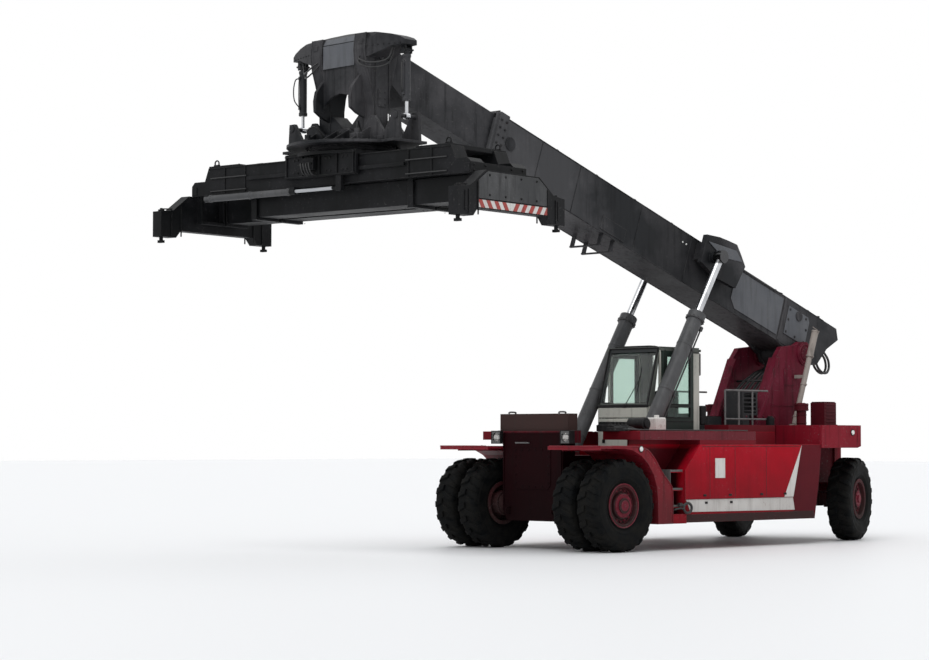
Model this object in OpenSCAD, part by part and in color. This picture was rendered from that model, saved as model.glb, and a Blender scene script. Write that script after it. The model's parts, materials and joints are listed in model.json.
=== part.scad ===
// Reach stacker: drive axle on twin wheels at the front, steered wheels at the
// back, a two-stage boom over a central cab and a telescopic spreader.
// +X is forward, +Y is the driver's left, the ground is at Z = 0. Every sub-part
// is drawn from the front axle and then moved to the middle of the machine.

/* [Wheels] */
// Diameter of every tyre over its lugs
tyre_d = 1450; // [1400:10:1500]
// Width of a tyre
tyre_w = 430; // [400:5:440]
// Diameter of a rim's flange
rim_d = 700; // [670:10:740]
// Height of the tyres' lugs
lug_h = 32; // [20:2:40]
// Gap between twin tyres
twin_gap = 90; // [60:10:110]
// Distance from the centre line to the inner wall of the twin tyres
twin_in = 830; // [810:10:870]
// How far the outer rim's disc lies inside the tyre's wall
rim_recess = 130; // [80:10:180]
// Distance from front axle to rear axle
wheelbase = 6500; // [6300:50:6700]
// Distance from the centre line to the middle of a rear tyre
rear_y = 1220; // [1200:10:1250]
// Distance from the centre line to a king pin
king_y = 820; // [800:5:840]
// Steering angle of the rear wheels as it stands
steer = 18; // [0:1:20]
// Radius of the wheel spindles
spindle_r = 80; // [70:5:95]
// Radius of the king pins
king_r = 45; // [40:5:55]

/* [Chassis] */
// Half the width of the body
body_y = 1750; // [1720:10:1800]
// Height of the sill's lower edge
sill_z = 420; // [400:10:460]
// Height of the front mudguards
guard_z = 1650; // [1600:10:1700]
// Height of the deck
deck_z = 1890; // [1870:10:1920]
// Thickness of the mudguard and deck plates
plate_t = 40; // [30:5:60]
// Half the width of the frame between the twin wheels
frame_y = 660; // [640:5:690]
// Half the width of the frame between the rear wheels
rear_frame_y = 440; // [400:10:460]
// Height of the counterweight's top
weight_z = 2010; // [1970:10:2060]
// Height of the counterweight's underside over the rear wheels
weight_low_z = 1620; // [1600:10:1650]

/* [Cab] */
// Width of the cab
cab_w = 1120; // [1080:10:1130]
// Height of the cab's roof
cab_top = 3300; // [3250:10:3350]
// Height of the cab's floor
cab_floor = 1520; // [1480:10:1560]
// Thickness of the cab's walls and doors
wall_t = 40; // [30:5:50]
// Width of a cab door
door_w = 720; // [680:10:750]

/* [Boom] */
// Angle of the boom above level as it stands
luff = 19.4; // [10:0.1:25]
// Boom pivot, behind the front axle
pivot_back = 6200; // [6100:10:6300]
// Height of the boom pivot
pivot_z = 3280; // [3230:10:3330]
// Radius of the boom's pivot pin
pivot_r = 75; // [65:5:85]
// Width of the outer boom
boom_w = 720; // [700:10:740]
// Height of the outer boom's box
boom_h = 830; // [800:10:860]
// Wall of the boom's boxes
boom_t = 20; // [16:2:30]
// Distance from the pivot to the outer boom's mouth
boom_len = 8358; // [8200:10:8500]
// Width of the inner boom
inner_w = 600; // [580:10:620]
// Height of the inner boom's box
inner_h = 670; // [640:10:690]
// Distance from the pivot to the head pin as it stands
head_at = 11098; // [11000:10:11200]

/* [Lift cylinders] */
// Distance from the centre line to a lift cylinder
lift_y = 760; // [750:5:780]
// Foot of the lift cylinders, behind the front axle
foot_back = 1450; // [1400:10:1500]
// Height of the lift cylinders' feet
foot_z = 1450; // [1400:10:1500]
// Eye of the lift rods along the boom, from the pivot
eye_at = 2973; // [2940:5:3010]
// Eye of the lift rods above the boom's pivot line
eye_up = 618; // [600:2:632]
// Radius of a lift cylinder's barrel
lift_r = 130; // [120:5:135]
// Length of a lift cylinder's barrel from its foot
lift_len = 2850; // [2800:10:2900]
// Radius of a lift cylinder's rod
rod_r = 65; // [55:5:75]
// Radius of the lift cylinders' pins
lift_pin_r = 55; // [45:5:60]

/* [Head] */
// Half the span between the tilt cylinders
tilt_y = 1150; // [1100:10:1200]
// Height of the head pin above the tilt pin
head_drop = 1180; // [1140:10:1220]
// Radius of the slewing ring
ring_r = 655; // [620:5:680]
// Radius of the rotator frame's round plate
flange_r = 1000; // [940:10:1040]

/* [Spreader] */
// Angle of the spreader to the machine as it stands
slew = 6.2; // [0:0.1:10]
// Distance between the corner locks across the container
lock_x = 2259; // [2250:1:2265]
// Distance between the corner locks along a twenty-foot container
lock_y = 5853; // [5840:1:5860]
// Half the length of the spreader's main frame
frame_len = 2760; // [2700:10:2800]
// Height of the main frame's boxes
frame_h = 420; // [400:10:440]
// Height of a telescopic beam
beam_h = 360; // [340:10:380]
// Width of a telescopic beam
beam_w = 420; // [400:10:440]

/* [Fits] */
// Running clearance round a shaft
run = 0.05; // [0.02:0.01:0.1]
// Clearance between pieces that pass each other
gap = 10; // [6:1:15]
// Clearance between pieces that are bolted together
seat = 0.3; // [0.2:0.1:0.5]

/* [Hidden] */
$fn = 48;
tyre_r = tyre_d / 2;
rim_r = rim_d / 2;
axle_z = tyre_r;
lug_count = 12;
twin_mid = [twin_in + tyre_w / 2, twin_in + 1.5 * tyre_w + twin_gap];
twin_out = twin_in + 2 * tyre_w + twin_gap;
rear_x = -wheelbase;
pivot = [-pivot_back, 0, pivot_z];
foot = [-foot_back, 0, foot_z];
function boom_point(x, z) = [pivot[0] + x * cos(luff) - z * sin(luff), 0, pivot[2] + x * sin(luff) + z * cos(luff)];
eye = boom_point(eye_at, eye_up);
lift_dir = eye - foot;
lift_lean = atan2(lift_dir[0], lift_dir[2]);
lift_reach = norm(lift_dir);
boom_low = 32;
boom_top = boom_low + boom_h;
inner_top = boom_top - boom_t - 12;
inner_low = inner_top - inner_h;
head_up = 492;
head = boom_point(head_at, head_up);
tilt = head - [0, 0, head_drop];
tilt_end = tilt_y + 90;
ear_up = 210;
pin_up = 0;
deck_in = lift_y + lift_r + 60;
arch_x = rear_x + 1420;
stern_x = rear_x - 850;
engine_back = arch_x + 490;
hanger = [rear_x - 250, rear_x + 190];
ring_z = tilt[2] - 180;
carry_top = ring_z - 110;
carry_h = 60;
main_top = carry_top - carry_h - seat;
main_low = main_top - frame_h;
beam_top = main_low - gap;
beam_low = beam_top - beam_h;
lock_z = beam_low - 270;
lock_end = [lock_x / 2 + 90, lock_y / 2 + 90];
shift_z = main_low - 60;
shift_x = 700;
rail_z = main_low + 180;
tail = [[-622, boom_low], [-812, 412], [-1072, 686], [-962, boom_top]];
tail_x = min([for (p = tail) boom_point(p[0], p[1])[0]]);
front_x = tilt[0] + lock_end[0] * cos(slew) + lock_end[1] * sin(slew);
mid_x = (front_x + tail_x) / 2;
dark_red = "#7a1f2c";
bright_red = "#c8263c";
boom_grey = "#4c4f56";
steel = "#8d9096";

module place() {
    translate([-mid_x, 0, 0]) children();
}

module box(x, y, z) {
    translate([x[0], y[0], z[0]]) cube([x[1] - x[0], y[1] - y[0], z[1] - z[0]]);
}

module side_plate(points, y) {
    translate([0, y[1], 0]) rotate([90, 0, 0]) linear_extrude(y[1] - y[0]) polygon(points);
}

module cross_plate(points, x) {
    translate([x[0], 0, 0]) rotate([90, 0, 90]) linear_extrude(x[1] - x[0]) polygon(points);
}

module bar_y(r, x, y, z) {
    translate([x, y[1], z]) rotate([90, 0, 0]) cylinder(r = r, h = y[1] - y[0]);
}

module bar_x(r, x, y, z) {
    translate([x[0], y, z]) rotate([0, 90, 0]) cylinder(r = r, h = x[1] - x[0]);
}

module both_sides() {
    children();
    mirror([0, 1, 0]) children();
}

module in_boom() {
    translate(pivot) rotate([0, -luff, 0]) children();
}

// The spreader's own frame: its turning axis at the origin, its length along Y
module in_slew() {
    translate([tilt[0], 0, 0]) rotate([0, 0, slew]) children();
}

// A cylinder's own frame: its foot at the origin, its rod along +Z
module in_lift(side) {
    translate(foot + [0, side * lift_y, 0]) rotate([0, lift_lean, 0]) children();
}

// One revolved tyre, its axis along Y
module tyre() {
    w = tyre_w / 2;
    tread_r = tyre_r - lug_h;
    rotate([90, 0, 0]) rotate_extrude($fn = 24) polygon([[rim_r - 30, -0.72 * w], [rim_r + seat, -0.72 * w],
        [rim_r + 140, -w], [tyre_r - 120, -w], [tread_r, -0.84 * w], [tread_r, 0.84 * w], [tyre_r - 120, w],
        [rim_r + 140, w], [rim_r + seat, 0.72 * w], [rim_r - 30, 0.72 * w]]);
    // slanted lugs in two rows, half a step apart
    for (side = [-1, 1], i = [0 : lug_count - 1])
        rotate([0, (i + (side > 0 ? 0.5 : 0)) * 360 / lug_count, 0]) translate([0, side * 0.48 * w, tread_r - 12])
            rotate([0, 0, side * 24]) translate([-36, -0.42 * w, 0]) cube([72, 0.84 * w, lug_h + 12]);
}

// One rim's barrel with a flange at each side, its axis along Y
module rim_ring() {
    w = 0.72 * tyre_w / 2;
    rotate([90, 0, 0]) rotate_extrude($fn = 24) polygon([[rim_r - 60, -w - 18], [rim_r, -w - 18],
        [rim_r, -w - seat], [rim_r - 30 - seat, -w - seat], [rim_r - 30 - seat, w + seat],
        [rim_r, w + seat], [rim_r, w + 18], [rim_r - 60, w + 18]]);
}

module front_rims() {
    disc_y = twin_out - rim_recess;
    hub_in = twin_in - 10;
    for (y = twin_mid) translate([0, y, axle_z]) rim_ring();
    difference() {
        union() {
            bar_y(rim_r - 55, 0, [disc_y - 30, disc_y], axle_z);
            bar_y(rim_r - 55, 0, [twin_mid[0] - 15, twin_mid[0] + 15], axle_z);
            bar_y(200, 0, [hub_in, disc_y + 70], axle_z);
            bar_y(120, 0, [disc_y + 60, disc_y + 110], axle_z);
        }
        bar_y(spindle_r + run, 0, [hub_in - 1, twin_mid[1] - 100], axle_z);
    }
}

module front_tyres() {
    for (y = twin_mid) translate([0, y, axle_z]) tyre();
}

module rear_wheel_place(side) {
    translate([rear_x, side * king_y, axle_z]) rotate([0, 0, steer])
        translate([0, side * (rear_y - king_y), 0]) children();
}

module rear_rim(side) {
    rear_wheel_place(side) {
        rim_ring();
        difference() {
            union() {
                bar_y(rim_r - 55, 0, side > 0 ? [60, 90] : [-90, -60], 0);
                bar_y(150, 0, side > 0 ? [-150, 150] : [-150, 150], 0);
            }
            bar_y(spindle_r + run, 0, side > 0 ? [-151, 40] : [-40, 151], 0);
        }
    }
}

module knuckle(side) {
    translate([rear_x, side * king_y, axle_z]) rotate([0, 0, steer]) {
        translate([0, 0, -150]) cylinder(r = king_r, h = 300);
        for (z = [-150, 110]) translate([0, 0, z]) cylinder(r = 80, h = 40);
        for (z = [-150, 110]) box([-60, 60], side > 0 ? [0, 160] : [-160, 0], [z, z + 40]);
        box([-90, 90], side > 0 ? [100, 190] : [-190, -100], [-150, 150]);
        bar_y(spindle_r, 0, side > 0 ? [180, 440] : [-440, -180], 0);
        box([-260, -60], side > 0 ? [-25, 25] : [-25, 25], [112, 148]);
    }
}

module steer_axle() {
    difference() {
        union() {
            box([rear_x - 130, rear_x + 130], [-king_y + 140, king_y - 140], [axle_z - 130, axle_z + 130]);
            both_sides() box([rear_x - 70, rear_x + 70], [king_y - 150, king_y], [axle_z - 100, axle_z + 100]);
            both_sides() translate([rear_x, king_y, axle_z - 100]) cylinder(r = 78, h = 200);
            bar_x(90, [rear_x - 260, rear_x + 260], 0, axle_z + 60);
        }
        both_sides() translate([rear_x, king_y, axle_z - 101]) cylinder(r = king_r + run, h = 202);
    }
}

module drive_axle() {
    bar_y(spindle_r, 0, [-twin_mid[1] + 120, twin_mid[1] - 120], axle_z);
    bar_y(170, 0, [-twin_in + 20, twin_in - 20], axle_z);
    bar_x(250, [-230, 150], 0, axle_z);
    both_sides() box([-150, 150], [frame_y - 280, frame_y - 100], [axle_z + 100, 1100]);
}

module chassis_frame() {
    rail_low = 1100;
    difference() {
        frame_boxes(rail_low);
        // room for the lift cylinders' feet
        both_sides() box([-foot_back - 170, -foot_back + 170], [lift_y - 90, lift_y + 90],
            [foot_z - 130, foot_z + 200]);
    }
    // brackets that carry the lift cylinders' feet
    both_sides() {
        for (y = [lift_y - 130, lift_y + 90])
            side_plate([[-foot_back - 200, rail_low], [-foot_back + 300, rail_low], [-foot_back + 300, foot_z - 200],
                [-foot_back + 110, foot_z + 100], [-foot_back - 110, foot_z + 100],
                [-foot_back - 200, foot_z - 200]], [y, y + 40]);
        bar_y(lift_pin_r, -foot_back, [lift_y - 130, lift_y + 130], foot_z);
        box([-foot_back - 200, -foot_back + 300], [frame_y - 100, lift_y + 130], [rail_low, rail_low + 60]);
    }
    // hangers of the steered axle's cradle
    for (x = hanger) difference() {
        box([x, x + 60], [-rear_frame_y + 10, rear_frame_y - 10], [axle_z - 60, rail_low]);
        bar_x(90 + seat, [x - 1, x + 61], 0, axle_z + 60);
    }
}

module frame_boxes(rail_low) {
    front_low = 455;
    low = 900;
    arch_in = arch_x + 80;
    // front box between the twin wheels, with its low shield and the cross beam on top
    box([-1150, 230], [-frame_y, frame_y], [rail_low, cab_floor - 20]);
    box([-60, 230], [-frame_y, frame_y], [cab_floor - 30, deck_z]);
    cross_plate([[-frame_y, rail_low + 10], [-frame_y, front_low + 180], [-frame_y + 90, front_low],
        [frame_y - 90, front_low], [frame_y, front_low + 180], [frame_y, rail_low + 10]], [180, 230]);
    both_sides() side_plate([[-420, rail_low + 1], [-300, front_low + 160], [-250, front_low + 160],
        [-250, rail_low - 80], [190, rail_low - 80], [190, rail_low + 1]], [frame_y - 30, frame_y]);
    box([-20, 200], [-frame_y - 85, frame_y + 85], [deck_z, deck_z + 275]);
    both_sides() box([-20, 180], [frame_y - 10, frame_y + 160], [deck_z - 190, deck_z + 10]);
    // rails back to the counterweight
    both_sides() box([arch_in, -1100], [rear_frame_y, frame_y], [low, rail_low + 300]);
    both_sides() box([stern_x + 200, arch_in + 10], [rear_frame_y - 190, rear_frame_y], [low + 100, weight_low_z]);
    box([arch_in - 100, arch_in + 20], [-frame_y, frame_y], [low, weight_low_z]);
    box([-3300, -3180], [-frame_y + 5, frame_y - 5], [low, rail_low + 300]);
    box([-1700, -1100], [-frame_y + 5, frame_y - 5], [low + 50, rail_low + 300]);
    // mounts under the cab
    both_sides() for (x = [-3200, -2140])
        box([x, x + 120], [rear_frame_y + 10, rear_frame_y + 110], [rail_low + 290, cab_floor - seat]);
}

module mudguard() {
    in_y = frame_y + seat;
    arch = [for (a = [0 : 15 : 90]) [-805 * cos(a), 800 + (guard_z - plate_t - 800) * sin(a)]];
    // arched sheet over the twin wheels
    difference() {
        side_plate([[580, guard_z - 60], [580, guard_z], [-200, guard_z], [-430, guard_z - 70], [-640, guard_z - 250],
            [-780, guard_z - 500], [-850, guard_z - 800], [-865, sill_z], [-805, sill_z], for (p = arch) p,
            [545, guard_z - plate_t], [545, guard_z - 60]], [in_y, body_y]);
    }
    // the broad lip beside the arch
    side_plate([[-300, guard_z], [-400, guard_z - 5], [-560, guard_z - 50], [-740, guard_z - 200], [-900, guard_z - 400],
        [-1075, 1080], [-1160, 930], [-1160, sill_z], [-805, sill_z], for (p = arch) p], [body_y - 60, body_y]);
}

module side_body() {
    in_y = frame_y + seat;
    skin_y = body_y - 20;
    top_z = 1680;
    // tank and engine side, from the steps to the rear arch
    difference() {
        side_plate([[-1480, sill_z + 10], [arch_x + 190, sill_z + 10], [arch_x + 60, 1100], [arch_x, weight_low_z - 10],
            [arch_x, top_z], [-1860, top_z], [-1480, 1270]], [in_y, skin_y]);
        box([arch_x - 40, -1400], [in_y - 1, deck_in], [1090, top_z + 20]);
    }
    // bright cover with its panel edge
    side_plate([[-1470, 800], [arch_x + 800, 800], [arch_x + 560, 1670], [-1850, 1670],
        [-1470, 1270]], [skin_y - 1, body_y]);
    // recess with its steps and the sill below them
    box([-1500, -1175], [body_y - 500, body_y - 5], [sill_z, sill_z + 150]);
    for (z = [670, 940, 1230]) box([-1840, -1180], [body_y - 440, body_y - 70], [z, z + 30]);
    side_plate([[-1470, sill_z + 140], [-1180, sill_z + 140], [-1180, 930], [-900, 1270], [-600, 1600],
        [-600, deck_z - 130], [-1850, deck_z - 130], [-1850, top_z - 10], [-1470, 1270]], [body_y - 470, body_y - 430]);
    // deck beside the cab, and the raised box behind it
    box([-3300, -395], [deck_in, skin_y], [deck_z - 140, deck_z]);
    box([-3300, -1860], [deck_in, skin_y], [top_z - 10, deck_z - 130]);
    box([arch_x + 520, -3301], [cab_w / 2 + 80, 1150], [top_z - 10, deck_z + 115]);
}

module counterweight() {
    nose_x = rear_x + 300;
    plan = [[arch_x, -body_y], [nose_x, -body_y], [stern_x, -750], [stern_x, 750], [nose_x, body_y], [arch_x, body_y]];
    difference() {
        translate([0, 0, weight_low_z + seat]) linear_extrude(weight_z - weight_low_z - seat) polygon(plan);
        // the wheel arches are rounded over the steered wheels
        both_sides() bar_y(tyre_r + 190, rear_x + 100, [rear_frame_y + 20, body_y + 1], axle_z + 30);
    }
    box([stern_x, stern_x + 190], [-rear_frame_y - 40, rear_frame_y + 40], [axle_z + 20, weight_low_z + 10]);
    // air intakes
    both_sides() {
        translate([arch_x - 420, 1000, weight_z - 1]) cylinder(r = 85, h = 300);
        translate([arch_x - 420, 1000, weight_z + 250]) cylinder(r = 120, h = 130);
        box([arch_x - 1180, arch_x - 840], [880, 1180], [weight_z - 1, weight_z + 400]);
    }
    // tow clevis
    difference() {
        for (z = [820, 930]) box([stern_x - 80, stern_x + 10], [-120, 120], [z, z + 30]);
        translate([stern_x - 42, 0, 800]) cylinder(r = 26, h = 200);
    }
}

module boom_tower() {
    in_y = boom_w / 2 + 70;
    base_x = pivot[0] + 150;
    toe_x = arch_x + 430;
    brow_x = pivot[0] + 800;
    both_sides() difference() {
        union() {
            side_plate([[toe_x, 1690], [brow_x, pivot_z - 80], [brow_x - 160, pivot_z + 110], [pivot[0] + 250, pivot_z + 150],
                [pivot[0] + 110, pivot_z + 215], [pivot[0] - 90, pivot_z + 215], [pivot[0] - 230, pivot_z + 110],
                [pivot[0] - 240, pivot_z], [base_x, weight_z + 260], [base_x, weight_z + seat],
                [arch_x + seat, weight_z + seat], [arch_x + seat, 1690]], [in_y, in_y + 100]);
            bar_y(200, pivot[0], [in_y - 40, in_y + 130], pivot_z);
            // stiffener along the leading edge
            side_plate([[toe_x, 1690], [brow_x, pivot_z - 80], [brow_x - 70, pivot_z - 80], [toe_x - 110, 1690]],
                [in_y - 60, in_y + 130]);
        }
        bar_y(pivot_r + run, pivot[0], [in_y - 70, in_y + 150], pivot_z);
    }
    // cross box between the two plates
    box([base_x + 150, base_x + 750], [-in_y - 5, in_y + 5], [weight_z + 5, weight_z + 250]);
}

module engine() {
    box([engine_back, -3500], [-rear_frame_y + 60, rear_frame_y - 60], [880, 1650]);
    for (x = [engine_back + 60, -3720]) box([x, x + 120], [-rear_frame_y + seat, rear_frame_y - seat], [1000, 1080]);
}

// Muffler pipe that leans back beside the tower, held by a bracket
module exhaust_pipe() {
    base = [pivot[0] + 580, 750, weight_z + seat];
    lean = [0, -20.5, 0];
    translate(base) rotate(lean) translate([0, 0, 20]) cylinder(r = 48, h = 1754);
    translate(base) rotate(lean) translate([0, 0, 1300]) cylinder(r = 60, h = 460);
    translate(base) cylinder(r = 90, h = 24);
    box([pivot[0] + 210, pivot[0] + 300], [boom_w / 2 + 170 + seat, 745], [pivot_z - 440, pivot_z - 380]);
}

module cooler() {
    hood_y = cab_w / 2 - 5;
    // clear of the arch and of the tower's leading edge
    back = max(arch_x + 220, pivot[0] + 1340);
    x = [back, back + 410];
    y = [150, 540];
    z = [2180, 2600];
    // hood over the engine
    difference() {
        box([engine_back - 50, -3340], [-hood_y, hood_y], [1400 + seat, deck_z + 60]);
        box([engine_back - 20, -3370], [-hood_y + 30, hood_y - 30], [1400, deck_z + 30]);
    }
    // cooler on its stand, open at the side behind louvres
    box([engine_back - 40, x[1]], y, [deck_z + 50, z[0] + 1]);
    difference() {
        box(x, y, z);
        box([x[0] + 40, x[1] - 40], [y[1] - 120, y[1] + 1], [z[0] + 40, z[1] - 40]);
    }
    for (i = [1 : 4]) box([x[0] + 35, x[1] - 35], [y[1] - 125, y[1] - 8], [z[0] + 72 * i, z[0] + 72 * i + 20]);
    // box beside it
    box([engine_back + 240, engine_back + 600], [-350, 150], [deck_z + 50, 2150]);
}

module cab_profile(inset) {
    i = inset;
    polygon([[-3260 + i, cab_floor + i], [-1960 - i, cab_floor + i], [-1960 - i, 2320],
        [-2250 - i, cab_top - i], [-3260 + i, cab_top - i]]);
}

module cab_shell() {
    y = cab_w / 2;
    door_x = -2300;
    difference() {
        translate([0, y, 0]) rotate([90, 0, 0]) linear_extrude(cab_w) cab_profile(0);
        translate([0, y - wall_t, 0]) rotate([90, 0, 0]) linear_extrude(cab_w - 2 * wall_t) cab_profile(wall_t);
        // doorways, windscreens, rear window, front quarter panes
        box([door_x - door_w, door_x], [-y - 1, y + 1], [cab_floor + 60, cab_top - 90]);
        box([-2120, -1900], [-y + 70, y - 70], [2000, 2290]);
        side_plate([[-1900, 2360], [-2050, 2360], [-2350, cab_top - 90], [-2100, cab_top - 90]], [-y + 70, y - 70]);
        box([-3300, -3200], [-y + 120, y - 120], [2200, cab_top - 100]);
        both_sides() side_plate([[-2090, 2380], [-2250, 2380], [-2250, cab_top - 100], [-2235, cab_top - 100]],
            [y - wall_t - 1, y + 1]);
    }
}

module door_rails() {
    both_sides() {
        box([-3250, -2250], [cab_w / 2 - 5, cab_w / 2 + 50], [cab_top - 70 + seat, cab_top - 30]);
        box([-3250, -2250], [cab_w / 2 - 5, cab_w / 2 + 50], [cab_floor + 5, cab_floor + 40 - seat]);
    }
}

module cab_glass() {
    y = cab_w / 2;
    t = 8;
    // panes stand in their openings with the seat clearance round them
    box([-1988, -1988 + t], [-y + 70 + seat, y - 70 - seat], [2000 + seat, 2290 - seat]);
    box([-3244, -3244 + t], [-y + 120 + seat, y - 120 - seat], [2200 + seat, cab_top - 100 - seat]);
    slope = atan2(290, cab_top - 2320);
    translate([-1980, 0, 2320]) rotate([0, -slope, 0])
        box([-8, 0], [-y + 70 + seat, y - 70 - seat], [55, 55 + 850]);
}

module cab_seat() {
    box([-3050, -2550], [-250, 250], [cab_floor + wall_t + 300, cab_floor + wall_t + 430]);
    box([-3100, -3000], [-240, 240], [cab_floor + wall_t + 380, cab_floor + wall_t + 1050]);
    box([-2950, -2650], [-150, 150], [cab_floor + wall_t + seat, cab_floor + wall_t + 310]);
}

module cab_door() {
    y = cab_w / 2 + 10;
    x = -2300;
    difference() {
        box([x - door_w - 30, x + 30], [y, y + wall_t], [cab_floor + 40, cab_top - 70]);
        box([x - door_w + 60, x - 60], [y - 1, y + wall_t + 1], [2340, cab_top - 160]);
        box([x - door_w + 60, x - 60], [y - 1, y + wall_t + 1], [2120, 2300]);
    }
}

module lamps() {
    lamp_y = frame_y + 100;
    both_sides() {
        difference() {
            box([180 + seat, 290], [lamp_y - 95, lamp_y + 95], [deck_z - 195, deck_z - 5]);
            bar_x(75, [240, 300], lamp_y, deck_z - 100);
        }
        bar_x(70, [235, 265], lamp_y, deck_z - 100);
    }
}

module handrails() {
    y = cab_w / 2 + 120;
    // grab rail at the cab's rear corner
    for (z = [2850, 3200]) bar_x(14, [-3330, -3260 - seat], 520, z);
    translate([-3330, 520, 2850]) cylinder(r = 14, h = 350);
    // hoops beside the cooler
    both_sides() {
        for (z = [2110, 2600]) bar_x(16, [arch_x + 120, -3800], y, z);
        for (x = [arch_x + 540, (arch_x - 3260) / 2, -3800]) translate([x, y, deck_z + 115 + seat]) cylinder(r = 16, h = 595 - seat);
    }
}

module lift_barrel() {
    difference() {
        union() {
            translate([0, 0, 190]) cylinder(r = lift_r, h = lift_len - 190);
            box([-90, 90], [-80, 80], [0, 195]);
            translate([0, 0, lift_len - 120]) cylinder(r = lift_r + 22, h = 120);
            bar_y(110, 0, [-80, 80], 0);
        }
        bar_y(lift_pin_r + run, 0, [-140, 140], 0);
        translate([0, 0, 230]) cylinder(r = lift_r - 28, h = lift_len - 400);
        translate([0, 0, 240]) cylinder(r = rod_r + run, h = lift_len);
    }
}

module lift_rod() {
    inside = 1650;
    translate([0, 0, lift_len - inside]) cylinder(r = rod_r, h = lift_reach - lift_len + inside - 60);
    bar_y(110, 0, [-80, 80], lift_reach);
}

module outer_boom() {
    side = boom_w / 2;
    in_boom() {
        difference() {
            side_plate([tail[0], tail[1], tail[2], tail[3], [boom_len, boom_top], [boom_len, boom_low]], [-side, side]);
            box([-100, boom_len + 1], [-side + boom_t, side - boom_t], [boom_low + boom_t, boom_top - boom_t]);
        }
        // lugs and cross tube that hang the boom on its pivot
        both_sides() side_plate([[-560, boom_low + 1], [-180, -70], [-90, -165], [90, -165], [190, -70],
            [620, boom_low + 1]], [side - 60, side]);
        bar_y(150, 0, [-side, side], 0);
        bar_y(pivot_r, 0, [-side - 210, side + 210], 0);
        // collar at the mouth
        difference() {
            box([boom_len - 260, boom_len - 60], [-side - 30, side + 30], [boom_low - 30, boom_top + 30]);
            box([boom_len - 261, boom_len - 59], [-side + 1, side - 1], [boom_low + 1, boom_top - 1]);
        }
        // wear pads that carry the inner boom
        both_sides() box([boom_len - 300, boom_len], [inner_w / 2 + 2, side - boom_t + 1], [inner_low + 60, inner_top - 60]);
        box([boom_len - 300, boom_len], [-200, 200], [boom_low + boom_t - 1, inner_low - seat]);
        // saddle that carries the lift rods' pins
        both_sides() side_plate([for (p = [[265, -186], [265, 314], [-60, 400], [-300, boom_top + 190 - eye_up],
            [-535, boom_top + 215 - eye_up], [-700, 330], [-865, 184], [-735, -266], [-185, -296]]) [eye_at + p[0], eye_up + p[1]]],
            [side + 140, side + 230]);
        both_sides() box([eye_at - 485, eye_at + 215], [side - 1, side + 150], [eye_up - 116, eye_up + 204]);
        both_sides() bar_y(100, eye_at, [side + 220, lift_y - 80 - 8], eye_up);
        box([eye_at - 635, eye_at - 285], [-side - 150, side + 150], [boom_top - 1, boom_top + 130]);
    }
}

module inner_boom() {
    back = 1290;
    front = head_at - 360;
    in_boom() difference() {
        union() {
            difference() {
                side_plate([[back, inner_low], [back, inner_top], [front, inner_top], [front + 60, head_up + 120],
                    [front + 60, head_up - 80], [head_at - 1010, inner_low]], [-inner_w / 2, inner_w / 2]);
                box([back - 1, front - 900], [-inner_w / 2 + boom_t, inner_w / 2 - boom_t], [inner_low + boom_t, inner_top - boom_t]);
            }
            both_sides() side_plate([[front, head_up + 190], [head_at, head_up + 195], [head_at + 170, head_up + 90],
                [head_at + 170, head_up - 90], [head_at, head_up - 190], [front, head_up - 90]], [inner_w / 2 - 70, inner_w / 2]);
            bar_y(60, head_at, [-inner_w / 2 - 330, inner_w / 2 + 330], head_up);
        }
    }
}

module head_yoke() {
    leg = [inner_w / 2 + 60, inner_w / 2 + 300];
    waist = 180 - head_drop;
    foot = 90 - head_drop;
    translate(head) difference() {
        union() {
            // legs: broad at the head pin, waisted below; a thinner cheek inside swells forward
            both_sides() side_plate([[-320, 300], [300, 300], [330, 60], [300, -150], [235, -350], [175, -560],
                [145, -760], [140, foot], [-140, foot], [-140, -760], [-170, -560], [-240, -350], [-310, -100],
                [-330, 60]], leg);
            both_sides() side_plate([[130, 60], [200, -240], [410, -500], [440, -640], [430, -800], [300, waist + 120],
                [130, waist + 60]], [leg[0], leg[0] + 60]);
            // arched cowl with the tilt cylinders' arms
            intersection() {
                cross_plate([[-tilt_end, 75], [-tilt_end, 145], [-1170, 190], [-1000, 245], [-700, 300], [-350, 340],
                    [0, 355], [350, 340], [700, 300], [1000, 245], [1170, 190], [tilt_end, 145], [tilt_end, 75],
                    [tilt_y - 100, 75], [640, -60], [leg[0] + 5, -60], [leg[0] + 5, 220], [-leg[0] - 5, 220],
                    [-leg[0] - 5, -60], [-640, -60], [100 - tilt_y, 75]], [-200, 300]);
                translate([0, 0, -100]) linear_extrude(500) polygon([[-120, -tilt_end], [120, -tilt_end], [300, -620],
                    [300, 620], [120, tilt_end], [-120, tilt_end], [-200, 620], [-200, -620]]);
                side_plate([[-200, -100], [-200, 300], [-90, 355], [120, 355], [240, 290], [300, 190], [300, -100]],
                    [-tilt_end, tilt_end]);
            }
            // front web between the legs, arched below
            cross_plate([[-leg[0] - 5, 221], [-leg[0] - 5, -820], [-320, -690], [-190, -590], [0, -545], [190, -590],
                [320, -690], [leg[0] + 5, -820], [leg[0] + 5, 221]], [250, 280]);
            both_sides() for (x = [-70, 50]) box([x, x + 20], [tilt_y - 45, tilt_y + 45], [pin_up - 50, 90]);
            both_sides() bar_x(25, [-60, 60], tilt_y, pin_up);
            // lower cross piece and the hub on the tilt pin
            cross_plate([[-leg[1] + 1, foot - 10], [-leg[1] + 1, waist + 140], [-300, waist + 150], [-60, 115 - head_drop],
                [60, 115 - head_drop], [300, waist + 150], [leg[1] - 1, waist + 140], [leg[1] - 1, foot - 10],
                [100, -70 - head_drop], [-100, -70 - head_drop]], [-140, 140]);
            bar_x(110, [-150, 150], 0, -head_drop);
        }
        both_sides() bar_y(60 + run, 0, [leg[0] - 1, 642], 0);
        bar_x(50 + run, [-151, 151], 0, -head_drop);
    }
}

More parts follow.
